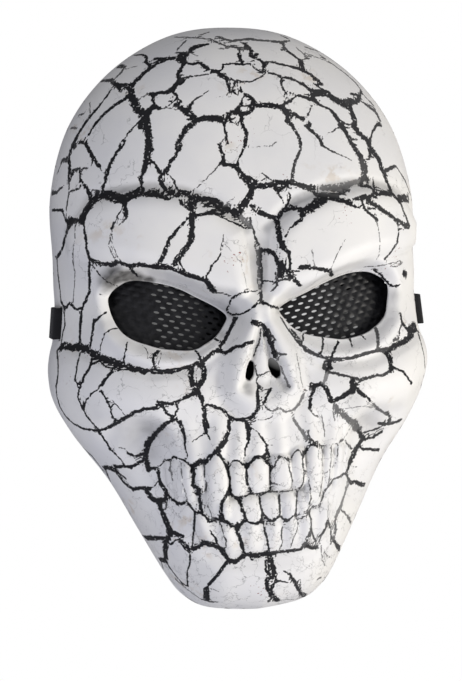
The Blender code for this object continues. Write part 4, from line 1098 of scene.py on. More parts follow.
        (0.8, 0.8, 0.7, [(310, 410), (315, 415), (320, 418)]),
        (1.8, 2.4, 1.0, [(332, 402), (340, 398), (347, 394), (352, 390)]),
        (4.2, 4.4, 1.0, [(353, 379), (354, 385), (354, 390)]),
        (1.8, 1.2, 1.0, [(357, 389), (361, 394), (367, 397), (370, 401)]),
        (1.6, 1.4, 0.9, [(358, 381), (364, 379), (370, 377), (378, 375), (384, 375), (390, 371)]),
        (2.2, 2.2, 1.0, [(386, 352), (390, 358), (391, 365), (390, 371)]),
        (1.2, 0.8, 1.0, [(393, 367), (399, 370), (404, 372), (408, 378), (412, 384)]),
        (2.6, 2.4, 1.0, [(390, 349), (397, 345), (403, 342), (408, 338), (412, 334)]),
        (1.0, 1.0, 0.7, [(373, 403), (377, 408), (384, 413), (389, 416), (391, 422)]),
        (1.6, 1.6, 0.9, [(387, 412), (390, 418), (388, 424)]),
        (1.4, 1.0, 0.9, [(379, 423), (388, 424), (396, 422), (401, 420)]),
        (0.4, 0.4, 0.6, [(345, 409), (355, 407), (365, 406), (372, 408)]),
        (2.4, 3.0, 0.7, [(334, 405), (340, 412), (347, 418), (354, 425), (359, 430)]),
        (1.0, 0.4, 0.6, [(334, 404), (333, 412), (335, 422)]),
        (2.6, 2.6, 1.0, [(409, 331), (414, 327), (418, 331)]),
        (1.2, 1.2, 1.0, [(401, 315), (402, 323), (407, 329)]),
        (0.8, 0.8, 0.9, [(401, 325), (399, 333)]),
        (1.6, 1.2, 0.8, [(394, 340), (399, 338)]),
        (0.6, 0.5, 0.9, [(418, 333), (421, 343), (424, 355), (425, 368)]),
        (0.4, 0.4, 0.5, [(296, 352), (299, 366), (301, 378), (303, 388)]),
        (0.6, 0.6, 0.6, [(303, 390), (307, 391), (311, 390)]),
    ],
    "left_jaw": [
        (1.0, 1.4, 1.0, [(88, 429), (98, 431), (105, 429)]),
        (1.0, 0.7, 1.0, [(98, 431), (107, 443), (110, 449), (120, 459), (125, 465)]),
        (0.9, 1.0, 1.0, [(66, 430), (76, 441), (92, 456), (102, 469)]),
        (1.0, 0.4, 1.0, [(102, 469), (109, 484), (117, 496)]),
        (0.4, 0.4, 0.7, [(118, 447), (126, 449)]),
        (1.0, 1.6, 1.0, [(128, 453), (135, 457), (140, 455), (145, 453)]),
        (1.4, 1.2, 1.0, [(104, 468), (110, 467), (116, 471)]),
        (1.2, 0.6, 1.0, [(110, 469), (120, 474), (126, 479)]),
        (1.6, 1.6, 1.0, [(115, 467), (124, 466), (131, 467), (144, 460)]),
        (0.7, 1.4, 1.0, [(115, 471), (124, 483), (133, 489)]),
        (1.6, 2.2, 1.0, [(133, 489), (140, 488), (151, 489)]),
        (1.0, 0.7, 0.9, [(106, 471), (111, 483)]),
        (0.6, 0.6, 1.0, [(151, 489), (159, 481)]),
        (2.2, 2.6, 1.0, [(146, 489), (151, 498), (158, 501), (165, 500), (168, 496)]),
        (2.2, 3.0, 1.0, [(158, 501), (163, 514), (169, 528), (170, 533)]),
        (0.8, 0.8, 0.8, [(167, 503), (165, 509)]),
        (2.2, 1.4, 1.0, [(170, 531), (176, 534), (183, 536)]),
        (0.6, 1.4, 1.0, [(138, 532), (146, 538)]),
        (1.6, 1.6, 1.0, [(146, 538), (163, 538), (168, 536)]),
        (2.2, 1.8, 1.0, [(168, 536), (165, 550), (166, 558)]),
        (1.6, 1.4, 1.0, [(160, 560), (166, 560)]),
        (0.6, 0.6, 0.8, [(161, 560), (163, 569)]),
        (1.0, 0.5, 1.0, [(166, 560), (169, 567), (180, 581), (186, 586)]),
        (0.8, 0.8, 1.0, [(170, 545), (176, 540), (183, 540)]),
        (1.4, 1.2, 1.0, [(181, 540), (188, 547), (193, 550)]),
        (0.8, 0.8, 1.0, [(180, 543), (186, 550), (190, 553)]),
        (1.0, 0.5, 1.0, [(190, 553), (190, 562), (187, 574), (188, 587)]),
        (0.5, 0.4, 0.7, [(175, 579), (188, 590), (199, 598)]),
    ],
    "upper_jaw": [
        (1.8, 2.4, 1.0, [(176, 419), (165, 424), (157, 432), (151, 439)]),
        (3.4, 2.6, 1.0, [(151, 439), (147, 446), (146, 455)]),
        (2.6, 2.4, 1.0, [(146, 455), (147, 463), (149, 470)]),
        (1.4, 1.6, 1.0, [(150, 468), (156, 468), (159, 475)]),
        (1.6, 2.4, 1.0, [(159, 475), (161, 484), (168, 496)]),
        (2.2, 0.5, 1.0, [(180, 422), (184, 434), (185, 445), (187, 457)]),
        (1.8, 1.8, 1.0, [(204, 406), (205, 428), (206, 433)]),
        (1.4, 0.6, 1.0, [(206, 433), (210, 440)]),
        (1.0, 0.4, 1.0, [(205, 433), (192, 442)]),
        (1.4, 1.4, 1.0, [(225, 411), (229, 417), (240, 420), (250, 418), (256, 411)]),
        (1.4, 2.2, 1.0, [(229, 420), (229, 430), (226, 438)]),
        (2.6, 2.8, 1.0, [(226, 438), (222, 445), (216, 452)]),
        (2.0, 1.8, 1.0, [(246, 420), (248, 430), (248, 439)]),
        (1.2, 0.8, 1.0, [(248, 442), (245, 450), (245, 456)]),
        (0.4, 1.0, 1.0, [(251, 428), (257, 431), (266, 444)]),
        (1.4, 1.8, 1.0, [(266, 444), (267, 452), (269, 457)]),
        (0.4, 0.3, 0.7, [(267, 445), (272, 445)]),
        (1.2, 1.8, 0.6, [(293, 419), (303, 433), (306, 438)]),
        (0.6, 1.0, 0.8, [(308, 430), (310, 440)]),
        (1.0, 1.4, 0.9, [(310, 440), (316, 442), (319, 445)]),
        (1.0, 0.6, 0.8, [(319, 445), (325, 446)]),
        (0.6, 0.6, 0.6, [(321, 414), (324, 427), (325, 437)]),
        (0.5, 0.5, 0.6, [(328, 446), (336, 443)]),
        (0.8, 0.6, 0.7, [(340, 441), (345, 439)]),
        (0.3, 0.3, 0.45, [(345, 437), (352, 425)]),
    ],
    "upper_teeth": [
        (0.7, 1.2, 1.0, [(160, 466), (165, 460), (170, 460), (174, 457), (184, 460), (192, 467)]),
        (0.9, 0.5, 0.6, [(171, 461), (170, 470), (173, 480)]),
        (0.5, 0.4, 0.6, [(181, 464), (182, 479)]),
        (1.2, 1.4, 1.0, [(169, 496), (174, 501), (181, 504), (187, 501)]),
        (0.5, 0.5, 0.6, [(183, 484), (187, 500)]),
        (1.8, 1.8, 1.0, [(192, 467), (194, 473), (193, 484), (198, 490)]),
        (2.2, 2.6, 1.0, [(193, 466), (201, 461)]),
        (2.4, 2.0, 1.0, [(204, 463), (212, 455)]),
        (1.2, 1.0, 1.0, [(212, 455), (218, 453)]),
        (0.7, 0.8, 0.7, [(204, 465), (205, 480), (207, 485), (205, 491)]),
        (1.2, 1.6, 1.0, [(218, 453), (222, 458), (228, 471)]),
        (1.6, 1.6, 1.0, [(228, 471), (230, 480), (229, 491)]),
        (2.0, 1.4, 1.0, [(198, 490), (200, 503), (202, 513)]),
        (1.0, 1.2, 1.0, [(187, 501), (191, 507), (196, 513), (202, 513)]),
        (1.2, 1.2, 1.0, [(202, 513), (209, 522), (213, 521), (216, 519), (223, 521)]),
        (0.4, 0.6, 0.6, [(207, 503), (213, 519)]),
        (1.4, 1.6, 1.0, [(229, 491), (222, 503), (221, 511), (223, 520)]),
        (0.6, 1.4, 1.0, [(229, 468), (232, 462), (238, 460), (246, 467)]),
        (1.4, 1.0, 1.0, [(246, 467), (247, 484), (252, 493)]),
        (1.6, 1.6, 1.0, [(246, 467), (256, 457), (263, 457), (269, 464)]),
        (1.4, 1.0, 1.0, [(270, 464), (270, 480), (271, 491)]),
        (0.6, 0.9, 0.9, [(271, 469), (275, 466), (279, 455), (284, 457), (289, 461)]),
        (0.8, 0.4, 0.8, [(289, 461), (289, 468), (292, 478), (292, 488)]),
        (0.8, 0.5, 0.7, [(273, 483), (280, 485)]),
        (0.7, 0.6, 0.85, [(290, 459), (294, 453), (298, 449), (302, 454), (303, 462)]),
        (0.7, 0.6, 0.85, [(303, 462), (304, 475), (303, 484), (299, 489)]),
        (1.6, 1.0, 0.95, [(303, 456), (307, 447), (313, 444), (318, 447)]),
        (0.6, 0.7, 0.8, [(303, 466), (309, 478), (311, 498), (308, 511)]),
        (0.7, 0.6, 0.75, [(338, 444), (338, 456)]),
        (0.5, 0.5, 0.6, [(331, 447), (331, 462), (328, 486)]),
        (0.5, 0.4, 0.6, [(322, 450), (323, 475), (320, 496)]),
        (0.3, 0.3, 0.4, [(318, 448), (319, 466)]),
        (0.3, 0.3, 0.4, [(324, 474), (333, 467), (336, 462)]),
    ],
    "bite_and_lower_teeth": [
        (1.8, 1.6, 1.0, [(229, 491), (232, 496), (239, 499)]),
        (0.8, 0.9, 0.95, [(238, 497), (252, 494), (268, 492)]),
        (0.9, 0.5, 0.85, [(268, 492), (284, 491), (300, 489)]),
        (1.6, 1.6, 1.0, [(239, 499), (244, 514), (246, 520)]),
        (1.2, 1.8, 1.0, [(223, 520), (231, 525), (237, 527), (246, 520)]),
        (1.0, 1.6, 1.0, [(246, 520), (250, 523), (256, 524), (262, 521)]),
        (1.0, 1.2, 0.95, [(259, 494), (260, 503), (262, 512), (262, 521)]),
        (1.2, 1.2, 0.95, [(262, 514), (271, 522), (276, 519), (280, 515)]),
        (0.8, 1.0, 0.9, [(279, 492), (280, 515)]),
        (1.0, 0.8, 0.9, [(280, 516), (287, 521), (296, 514)]),
        (0.8, 0.8, 0.85, [(297, 492), (296, 514)]),
        (0.8, 0.6, 0.85, [(296, 514), (300, 519), (306, 516)]),
        (1.2, 0.8, 1.0, [(195, 514), (194, 530), (192, 549)]),
        (0.8, 0.6, 0.9, [(219, 521), (222, 529), (226, 541), (226, 548)]),
        (2.0, 1.6, 1.0, [(237, 524), (237, 530), (242, 545), (244, 553)]),
        (1.0, 1.2, 0.95, [(263, 521), (265, 531), (269, 548), (269, 553)]),
        (0.8, 0.6, 0.8, [(272, 522), (275, 527)]),
        (0.8, 0.5, 0.8, [(283, 527), (281, 534), (282, 542), (280, 549)]),
        (0.6, 0.4, 0.8, [(296, 516), (298, 523), (297, 530), (290, 549)]),
        (0.8, 0.8, 0.8, [(308, 511), (311, 519), (311, 530), (301, 548)]),
    ],
    "right_jaw": [
        (2.2, 2.0, 0.95, [(358, 429), (361, 436), (364, 438)]),
        (0.7, 0.9, 0.9, [(363, 433), (376, 429), (381, 427)]),
        (1.4, 1.2, 0.95, [(361, 440), (374, 437), (382, 431)]),
        (1.6, 2.2, 0.95, [(364, 438), (358, 445), (351, 459)]),
        (1.8, 1.2, 0.95, [(351, 459), (346, 473)]),
        (1.2, 1.4, 0.95, [(358, 446), (363, 449), (379, 450)]),
        (0.8, 0.8, 0.8, [(346, 442), (352, 449)]),
        (1.0, 1.2, 0.8, [(346, 474), (351, 483)]),
        (1.2, 2.4, 0.95, [(350, 483), (355, 482), (364, 485)]),
        (0.4, 0.3, 0.6, [(351, 466), (357, 467)]),
        (1.0, 0.7, 0.75, [(346, 473), (337, 478), (333, 480), (326, 489), (318, 507)]),
        (0.7, 0.7, 0.7, [(318, 507), (313, 506), (309, 511), (303, 512)]),
        (1.2, 1.6, 0.55, [(347, 486), (342, 503), (336, 517)]),
        (0.9, 0.7, 0.65, [(341, 510), (347, 515), (351, 523)]),
        (0.3, 0.3, 0.35, [(328, 497), (328, 520)]),
        (0.8, 1.6, 0.85, [(328, 519), (326, 528), (321, 536)]),
        (0.7, 0.8, 0.8, [(328, 520), (331, 530), (331, 543)]),
        (0.9, 0.9, 0.7, [(335, 521), (336, 530), (333, 541)]),
        (1.4, 1.4, 0.9, [(333, 540), (339, 548), (341, 555)]),
        (0.6, 0.6, 0.7, [(321, 536), (319, 543)]),
        (0.6, 0.4, 0.6, [(321, 546), (322, 559), (325, 566)]),
        (0.4, 0.5, 0.6, [(323, 550), (327, 556), (332, 558)]),
    ],
    "chin": [
        (1.8, 2.4, 1.0, [(193, 550), (204, 543), (216, 546)]),
        (2.6, 2.0, 1.0, [(216, 546), (222, 550), (229, 561)]),
        (1.6, 0.6, 1.0, [(217, 545), (216, 539), (210, 530)]),
        (2.4, 2.0, 1.0, [(229, 561), (235, 562), (245, 555)]),
        (2.6, 2.2, 1.0, [(245, 555), (257, 555), (269, 553)]),
        (0.8, 1.0, 1.0, [(248, 556), (253, 560)]),
        (1.8, 1.2, 0.95, [(269, 553), (286, 551), (302, 549)]),
        (0.8, 0.8, 0.8, [(302, 549), (306, 543), (309, 537), (311, 530)]),
        (1.8, 2.0, 0.95, [(306, 544), (311, 548), (318, 547)]),
        (0.8, 0.7, 0.8, [(311, 530), (316, 543), (318, 548)]),
        (1.6, 1.6, 1.0, [(227, 561), (219, 573), (208, 585)]),
        (0.8, 0.9, 1.0, [(208, 585), (204, 588), (205, 599)]),
        (1.2, 1.4, 1.0, [(208, 585), (208, 601)]),
        (0.9, 0.6, 0.9, [(201, 599), (210, 602), (218, 602)]),
        (0.4, 0.3, 0.5, [(213, 589), (221, 593)]),
        (2.6, 2.4, 1.0, [(269, 553), (272, 564), (275, 577)]),
        (0.5, 1.8, 1.0, [(266, 557), (266, 570), (273, 578)]),
        (1.4, 2.8, 1.0, [(266, 579), (267, 587), (272, 596)]),
        (1.0, 1.2, 1.0, [(276, 577), (273, 588)]),
        (1.2, 0.4, 0.95, [(275, 581), (281, 581), (289, 583)]),
        (2.4, 1.4, 1.0, [(272, 596), (278, 601)]),
        (0.8, 0.8, 0.9, [(268, 602), (273, 597)]),
        (0.4, 0.4, 0.6, [(280, 600), (298, 599)]),
        (0.6, 1.8, 0.95, [(284, 571), (290, 574), (295, 583)]),
        (1.8, 1.4, 0.95, [(295, 583), (300, 592), (306, 597)]),
        (0.6, 0.7, 0.9, [(300, 580), (301, 591)]),
        (2.0, 1.6, 0.95, [(303, 594), (306, 599)]),
        (0.8, 0.4, 0.65, [(308, 597), (317, 596), (325, 588)]),
        (0.7, 0.6, 0.6, [(318, 579), (321, 578)]),
        (0.5, 0.4, 0.5, [(324, 578), (328, 577)]),
    ],
}
print("cracks charted:", sum(len(rows) for rows in CRACKS.values()))

# %% Laying the chart onto the shell
shell_mesh = bpy.data.meshes.new("mask_shell_skin")
shell_bm.to_mesh(shell_mesh)
shell_bm.free()
count = len(shell_mesh.vertices)
spots = np.zeros(count * 3)
shell_mesh.vertices.foreach_get("co", spots)
spots = spots.reshape(-1, 3)
normals = np.zeros(count * 3)
shell_mesh.vertices.foreach_get("normal", normals)
normals = normals.reshape(-1, 3)
faces = [tuple(p.vertices) for p in shell_mesh.polygons]
skin = BVHTree.FromPolygons([Vector(p) for p in spots], faces)
camera_mm = eye_point / MM


def seen_at(px, py):
    """The place of the shell that the photograph shows there, or None."""
    return skin.ray_cast(camera_mm, sight_line(px, py))[0]


def crack_places():
    """Places a quarter of a millimetre apart along every crack: place, half width, darkness."""
    out = []
    for rows in CRACKS.values():
        for wide_start, wide_end, dark, places in rows:
            p = np.array(places, float)
            way = np.concatenate([[0.0], np.cumsum(np.hypot(*np.diff(p, axis=0).T))])
            for w in np.arange(0.0, way[-1], 0.45):
                px, py = np.interp(w, way, p[:, 0]), np.interp(w, way, p[:, 1])
                hit = seen_at(px, py)
                if hit is None:
                    continue
                half = (wide_start + (wide_end - wide_start) * w / way[-1]) / 2.0
                # a sloping surface shows a crack narrower than it is, so it is measured on the surface
                k = min(int(np.searchsorted(way, w, side="right")), len(p) - 1)
                ahead = (p[k] - p[k - 1]) / np.hypot(*(p[k] - p[k - 1])) * half * 2.0
                sides = seen_at(px - ahead[1], py + ahead[0]), seen_at(px + ahead[1], py - ahead[0])
                if None not in sides:
                    half = max(half, min((sides[0] - sides[1]).length / 2.0, half * 1.9))
                out.append((hit, half, dark))
    return out


places = crack_places()
tree_of_places = KDTree(len(places))
for k, (spot, _, _) in enumerate(places):
    tree_of_places.insert(spot, k)
tree_of_places.balance()

FAR_AWAY = 20.0
outside = np.array([a.value for a in shell_mesh.attributes["outside"].data])
crack_way = np.tile([FAR_AWAY, 0.0, 0.0], (count, 1))
crack_far = np.full(count, FAR_AWAY)
crack_wide = np.full(count, 0.3)
crack_dark = np.ones(count)
for i in np.nonzero((outside > 0.5) & (spots[:, 2] > 2.0))[0]:
    spot, k, far = tree_of_places.find(spots[i])
    if far < 9.0:
        crack_way[i] = np.array(spot) - spots[i]
        crack_far[i] = far
        crack_wide[i] = places[k][1]
        crack_dark[i] = places[k][2]
to_camera = np.array(camera_mm) - spots
to_camera /= np.linalg.norm(to_camera, axis=1, keepdims=True)
hidden = 1.0 - smooth((np.sum(normals * to_camera, axis=1) - 0.02) / 0.12)
print("crack places:", len(places), " points near a crack:", int((crack_far < 9.0).sum()))


def hollows(mesh, spots, normals, rounds=26):
    """How deep each point lies below the smoothed surface, in millimetres."""
    ends = np.zeros(len(mesh.edges) * 2, int)
    mesh.edges.foreach_get("vertices", ends)
    a, b = ends[0::2], ends[1::2]
    near = np.bincount(a, minlength=len(spots)) + np.bincount(b, minlength=len(spots))
    soft = spots.copy()
    for _ in range(rounds):
        for axis in range(3):
            old = soft[:, axis].copy()
            total = np.bincount(a, old[b], len(spots)) + np.bincount(b, old[a], len(spots))
            soft[:, axis] = total / near
    return np.sum((soft - spots) * normals, axis=1)


hollow = hollows(shell_mesh, spots, normals)
# painted shade: dark smudges under the brows, round the nose and in the cheek hollows; place in the
# photograph, radius in millimetres, strength; dark smudges, taken for sprayed paint, though some may
# be shadow: place in the photograph, radius in millimetres, strength
SHADES = [(111, 281, 9.0, 1.3), (118, 277, 10.0, 1.5), (127, 276, 9.0, 1.5), (137, 278, 7.0, 1.3),
          (148, 280, 5.0, 0.9), (158, 284, 4.5, 0.7), (170, 289, 4.0, 0.6), (182, 294, 4.0, 0.6),
          (106, 289, 5.0, 0.7),
          (300, 297, 4.0, 0.5), (313, 289, 4.0, 0.45), (330, 281, 4.0, 0.4), (350, 275, 4.0, 0.35),
          (150, 425, 16.0, 0.30), (130, 437, 13.0, 0.25), (150, 452, 10.0, 0.35), (372, 425, 12.0, 0.30),
          (355, 400, 9.0, 0.2), (395, 295, 5.0, 0.35), (249, 388, 4.0, 0.35), (280, 362, 4.0, 0.3),
          (250, 392, 3.5, 0.5), (286, 388, 3.5, 0.4), (222, 335, 4.0, 0.3), (302, 330, 4.0, 0.3)]
# painted shade round each smudge's place, kept as the 'shade' attribute
shade = np.zeros(count)
for px, py, radius, strength in SHADES:
    hit = seen_at(px, py)
    if hit is not None:
        far = np.linalg.norm(spots - np.array(hit), axis=1)
        shade = np.maximum(shade, strength * smooth(1.0 - far / radius))


def keep_on_points(mesh, name, values):
    """Store one number, or one vector, for each point of a mesh."""
    values = np.asarray(values, np.float32)
    kind, field = ("FLOAT_VECTOR", "vector") if values.ndim == 2 else ("FLOAT", "value")
    mesh.attributes.new(name, kind, "POINT").data.foreach_set(field, values.ravel())


for name, values in (("crack_way", crack_way), ("crack_far", crack_far), ("crack_wide", crack_wide),
                     ("crack_dark", crack_dark), ("hidden", hidden), ("hollow", hollow), ("shade", shade)):
    keep_on_points(shell_mesh, name, values)

# %% [markdown]
# ## The crackled finish
#
# Off-white satin paint with the faint unevenness of a sprayed coat. The charted cracks get ragged edges
# from noise and small white islands where flakes stayed on. Finer lines, and the sides that the photograph
# doesn't show, come from cell patterns with a wandering grid, since a real crackle varnish splits into
# cells too.

# %% Crackled paint


def point_value(tree, name, output="Fac"):
    node = tree.nodes.new("ShaderNodeAttribute")
    node.attribute_name = name
    return node.outputs[output]


def cell_lines(tree, place, size, wander, half_wide):
    """Lines of a cell pattern: 1 on a line, 0 away from it. All sizes in millimetres."""
    shift = add_node(tree, "ShaderNodeTexNoise",
                     {"Vector": place, "Scale": 1.0 / (size * 0.4), "Detail": 3.0})
    pulled = add_node(tree, "ShaderNodeVectorMath", {0: shift.outputs["Color"], 1: (0.5, 0.5, 0.5)},
                      operation="SUBTRACT").outputs[0]
    pulled = add_node(tree, "ShaderNodeVectorMath", {0: pulled, "Scale": wander},
                      operation="SCALE").outputs[0]
    moved = add_node(tree, "ShaderNodeVectorMath", {0: place, 1: pulled}, operation="ADD").outputs[0]
    cells = add_node(tree, "ShaderNodeTexVoronoi", {"Vector": moved, "Scale": 1.0 / size},
                     feature="DISTANCE_TO_EDGE").outputs["Distance"]
    return ramp(tree, maths(tree, "MULTIPLY", cells, size), half_wide * 1.4, half_wide * 0.6)


def crackled_paint():
    mat, tree, shader = new_finish("shell_paint", (0.8, 0.79, 0.77), 0.4)
    place = in_millimetres(tree)
    # charted cracks
    jag = add_node(tree, "ShaderNodeTexNoise",
                   {"Vector": place, "Scale": 1.0 / 2.6, "Detail": 3.0, "Roughness": 0.6})
    jag = add_node(tree, "ShaderNodeVectorMath", {0: jag.outputs["Color"], 1: (0.5, 0.5, 0.5)},
                   operation="SUBTRACT")
    jag = add_node(tree, "ShaderNodeVectorMath", {0: jag.outputs[0], "Scale": 1.9}, operation="SCALE")
    charted_way = point_value(tree, "crack_way", "Vector")
    way = add_node(tree, "ShaderNodeVectorMath", {0: charted_way, 1: jag.outputs[0]}, operation="ADD")
    way = add_node(tree, "ShaderNodeVectorMath", {0: way.outputs[0]}, operation="LENGTH")
    rough_edge = maths(tree, "SUBTRACT", grain(tree, place, 1.1, 3.0, 0.65), 0.5)
    wide = maths(tree, "MULTIPLY_ADD", point_value(tree, "crack_wide"), 1.0, 0.05)
    ragged = maths(tree, "MULTIPLY", rough_edge, maths(tree, "MULTIPLY_ADD", wide, 1.5, 0.45))
    # the way's length dips to nothing halfway between two cracks, and the plain distance doesn't
    far = maths(tree, "SUBTRACT", point_value(tree, "crack_far"), 0.8)
    distance = maths(tree, "MAXIMUM", way.outputs["Value"], far)
    past_edge = maths(tree, "SUBTRACT", maths(tree, "ADD", distance, ragged), wide)
    charted = ramp(tree, past_edge, 0.08, -0.08)
    flakes = ramp(tree, grain(tree, place, 1.3, 2.0), 0.66, 0.70)
    left_bare = maths(tree, "SUBTRACT", 1.0, maths(tree, "MULTIPLY", flakes, 0.85))
    charted = maths(tree, "MULTIPLY", charted, left_bare)
    charted = maths(tree, "MULTIPLY", charted, maths(tree, "POWER", point_value(tree, "crack_dark"), 0.5))
    # cell patterns for fine lines everywhere and bold ones where the photograph shows nothing
    patchy = ramp(tree, grain(tree, place, 14.0, 2.0), 0.50, 0.62)
    fine = cell_lines(tree, place, 13.0, 9.0, 0.10)
    fine = maths(tree, "MULTIPLY", fine, maths(tree, "MULTIPLY", patchy, 0.35))
    height = add_node(tree, "ShaderNodeSeparateXYZ", {0: place})
    muzzle = maths(tree, "MULTIPLY", ramp(tree, height.outputs[1], 5.0, -25.0),
                   ramp(tree, maths(tree, "ABSOLUTE", height.outputs[0]), 62.0, 40.0))
    wrinkles = cell_lines(tree, place, 6.5, 6.0, 0.09)
    wrinkles = maths(tree, "MULTIPLY", wrinkles, maths(tree, "MULTIPLY", muzzle, ramp(
        tree, grain(tree, place, 9.0, 2.0), 0.42, 0.54, 0.0, 0.5)))
    fine = maths(tree, "MAXIMUM", fine, wrinkles)
    bold = maths(tree, "MULTIPLY", cell_lines(tree, place, 26.0, 16.0, 0.55), point_value(tree, "hidden"))
    lines = maths(tree, "MAXIMUM", charted, maths(tree, "MAXIMUM", fine, bold))
    lines = maths(tree, "MULTIPLY", lines, point_value(tree, "outside"))
    # the coat itself
    cloudy = grain(tree, place, 35.0, 3.0)
    white = blend(tree, ramp(tree, cloudy, 0.35, 0.65), (0.80, 0.79, 0.765), (0.745, 0.74, 0.735))
    # painted shade: the coat darkens with each point's depth in a crease, and at the smudges of SHADES
    creases = ramp(tree, point_value(tree, "hollow"), 0.3, 1.8, 0.0, 0.42)
    painted_shade = maths(tree, "ADD", creases, point_value(tree, "shade"))
    painted_shade = maths(tree, "MULTIPLY", maths(tree, "MINIMUM", painted_shade, 1.0), ramp(
        tree, grain(tree, place, 5.0, 3.0), 0.25, 0.75, 0.75, 1.0))
    white = blend(tree, painted_shade, white, (0.045, 0.043, 0.04))
    # faint tan stains, and a few specks of dark red, both where a coarse and a fine grain agree
    stain = maths(tree, "MULTIPLY", ramp(tree, grain(tree, place, 26.0, 2.0), 0.60, 0.74),
                  ramp(tree, grain(tree, place, 4.0, 3.0), 0.45, 0.65, 0.0, 0.5))
    white = blend(tree, stain, white, (0.56, 0.47, 0.36))
    specks = maths(tree, "MULTIPLY", ramp(tree, grain(tree, place, 19.0, 1.0), 0.66, 0.70),
                   ramp(tree, grain(tree, place, 1.1, 1.0), 0.70, 0.73))
    white = blend(tree, specks, white, (0.22, 0.04, 0.03))
    lining = blend(tree, grain(tree, place, 4.0, 3.0), (0.018, 0.018, 0.02), (0.035, 0.035, 0.037))
    coat = blend(tree, point_value(tree, "outside"), lining, white)
    colour = blend(tree, lines, coat, (0.006, 0.006, 0.008))
    tree.links.new(colour, shader.inputs["Base Color"])
    gloss = ramp(tree, grain(tree, place, 6.0, 3.0), 0.3, 0.7, 0.44, 0.54)
    tree.links.new(maths(tree, "MULTIPLY_ADD", lines, 0.25, gloss), shader.inputs["Roughness"])
    peel = maths(tree, "MULTIPLY", grain(tree, place, 2.2, 2.0), 0.35)
    relief_of(tree, shader, maths(tree, "SUBTRACT", peel, lines), 0.12)
    shader.inputs["Specular IOR Level"].default_value = 0.35
    return mat


shell_mesh.transform(Matrix.Scale(MM, 4))
shell_mesh.materials.append(crackled_paint())
shell = bpy.data.objects.new("mask_shell_skin", shell_mesh)
scene.collection.objects.link(shell)
shell_mesh.shade_smooth()
shell_mesh.set_sharp_from_angle(angle=math.radians(60.0))
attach(shell, "root")
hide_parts("mask_shell")

# %% [markdown]
# ## The eye sheets
#
# Behind each eye hole sits a curved sheet of black plastic with small oval holes in staggered rows that
# slant down towards the nose. One diamond-shaped cell with its hole is made, copied over the lattice and
# welded, and then the flat sheet is bent to the curve of the plain one it replaces. Cells with a real hole
# let the floor's painted spots of light glint through, as in the photograph; those at the outer end of each
# eye are closed, and their black is painted shade for the dark behind them.

# %% One cell and its copies
CELL_WIDE, CELL_HIGH = 5.1, 2.6    # pitch along a row, and from row to row
HOLE_WIDE, HOLE_HIGH = 2.6, 0.95
SHEET = 0.6
SHEET_REACH = 3.4                  # how far the sheet reaches behind the shell
ROW_SLANT = math.radians(13.5)
CELL_STEPS = 16


def ring_of_cell(bm, half_wide, half_high, pointed, z):
    """A closed ring of edges, oval or diamond-shaped."""
    made = bmesh.ops.create_circle(bm, segments=CELL_STEPS, radius=1.0, cap_ends=False)["verts"]
    for k, vert in enumerate(sorted(made, key=lambda v: math.atan2(v.co.y, v.co.x))):
        a = math.atan2(vert.co.y, vert.co.x)
        r = 1.0 / (abs(math.cos(a)) + abs(math.sin(a))) if pointed else 1.0
        vert.co = (half_wide * math.cos(a) * r, half_high * math.sin(a) * r, z)
    return list({e for v in made for e in v.link_edges})


def cell(bm, shut_for_shade):
    """One diamond of the sheet around its hole or, where the hole is closed as painted shade, its dimple."""
    border = ring_of_cell(bm, CELL_WIDE / 2, CELL_HIGH, True, 0.0)
    lip = ring_of_cell(bm, HOLE_WIDE * 0.60, HOLE_HIGH * 0.75, False, 0.0)
    edge = ring_of_cell(bm, HOLE_WIDE / 2, HOLE_HIGH / 2, False, -0.14)
    bmesh.ops.bridge_loops(bm, edges=border + lip)
    bmesh.ops.bridge_loops(bm, edges=lip + edge)
    if shut_for_shade:
        bmesh.ops.contextual_create(bm, geom=edge)
    return bm


def sheet_curve(node):
    """The top face of the plain sheet as a curved plane: height = a + b x + c y + d x squared."""
    co = np.array([v.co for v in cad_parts[node].data.vertices]) / MM
    cx, cy = (co[:, :2].min(axis=0) + co[:, :2].max(axis=0)) / 2.0
    terms = np.stack([np.ones(len(co)), co[:, 0] - cx, co[:, 1] - cy, (co[:, 0] - cx) ** 2], axis=-1)
    top = np.ones(len(co), bool)
    for _ in range(3):
        fit = np.linalg.lstsq(terms[top], co[top, 2], rcond=None)[0]
        top = co[:, 2] > terms @ fit - 0.2
    return lambda x, y: fit[0] + fit[1] * (x - cx) + fit[2] * (y - cy) + fit[3] * (x - cx) ** 2


def eye_sheet(name, node, ring, side, open_span, finish):
    height = sheet_curve(node)
    middle = (ring.min(axis=0) + ring.max(axis=0)) / 2.0
    turn = Matrix.Rotation(side * ROW_SLANT, 3, "Z")
    spots = []
    for row in range(-12, 13):
        for col in range(-9, 10):
            spot = turn @ Vector(((col + (row % 2) / 2.0) * CELL_WIDE, row * CELL_HIGH, 0.0))
            spots.append((spot.x + middle[0], spot.y + middle[1]))
    depth = inside_distance([s[0] for s in spots], [s[1] for s in spots], ring)[0]
    bm = bmesh.new()
    for (x, y), d in zip(spots, depth):
        if d > -SHEET_REACH:
            before = set(bm.verts)
            # cells outside the open span are closed: their black is painted shade
            cell(bm, not open_span[0] < x < open_span[1])
            new = [v for v in bm.verts if v not in before]
            bmesh.ops.rotate(bm, verts=new, cent=(0, 0, 0), matrix=turn)
            bmesh.ops.translate(bm, verts=new, vec=(x, y, 0.0))
    bmesh.ops.remove_doubles(bm, verts=bm.verts, dist=0.02)
    bmesh.ops.recalc_face_normals(bm, faces=bm.faces)
    if sum(f.normal.z for f in bm.faces) < 0.0:
        bmesh.ops.reverse_faces(bm, faces=bm.faces)
    bmesh.ops.solidify(bm, geom=bm.faces, thickness=SHEET)
    high = max(v.co.z for v in bm.verts)
    for vert in bm.verts:
        vert.co.z += height(vert.co.x, vert.co.y) - high - 0.05
    piece = new_piece(name, bm, finish)
    piece.data.shade_smooth()
    piece.data.set_sharp_from_angle(angle=math.radians(40.0))
    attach(piece, "root")
    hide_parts(node)
    return piece


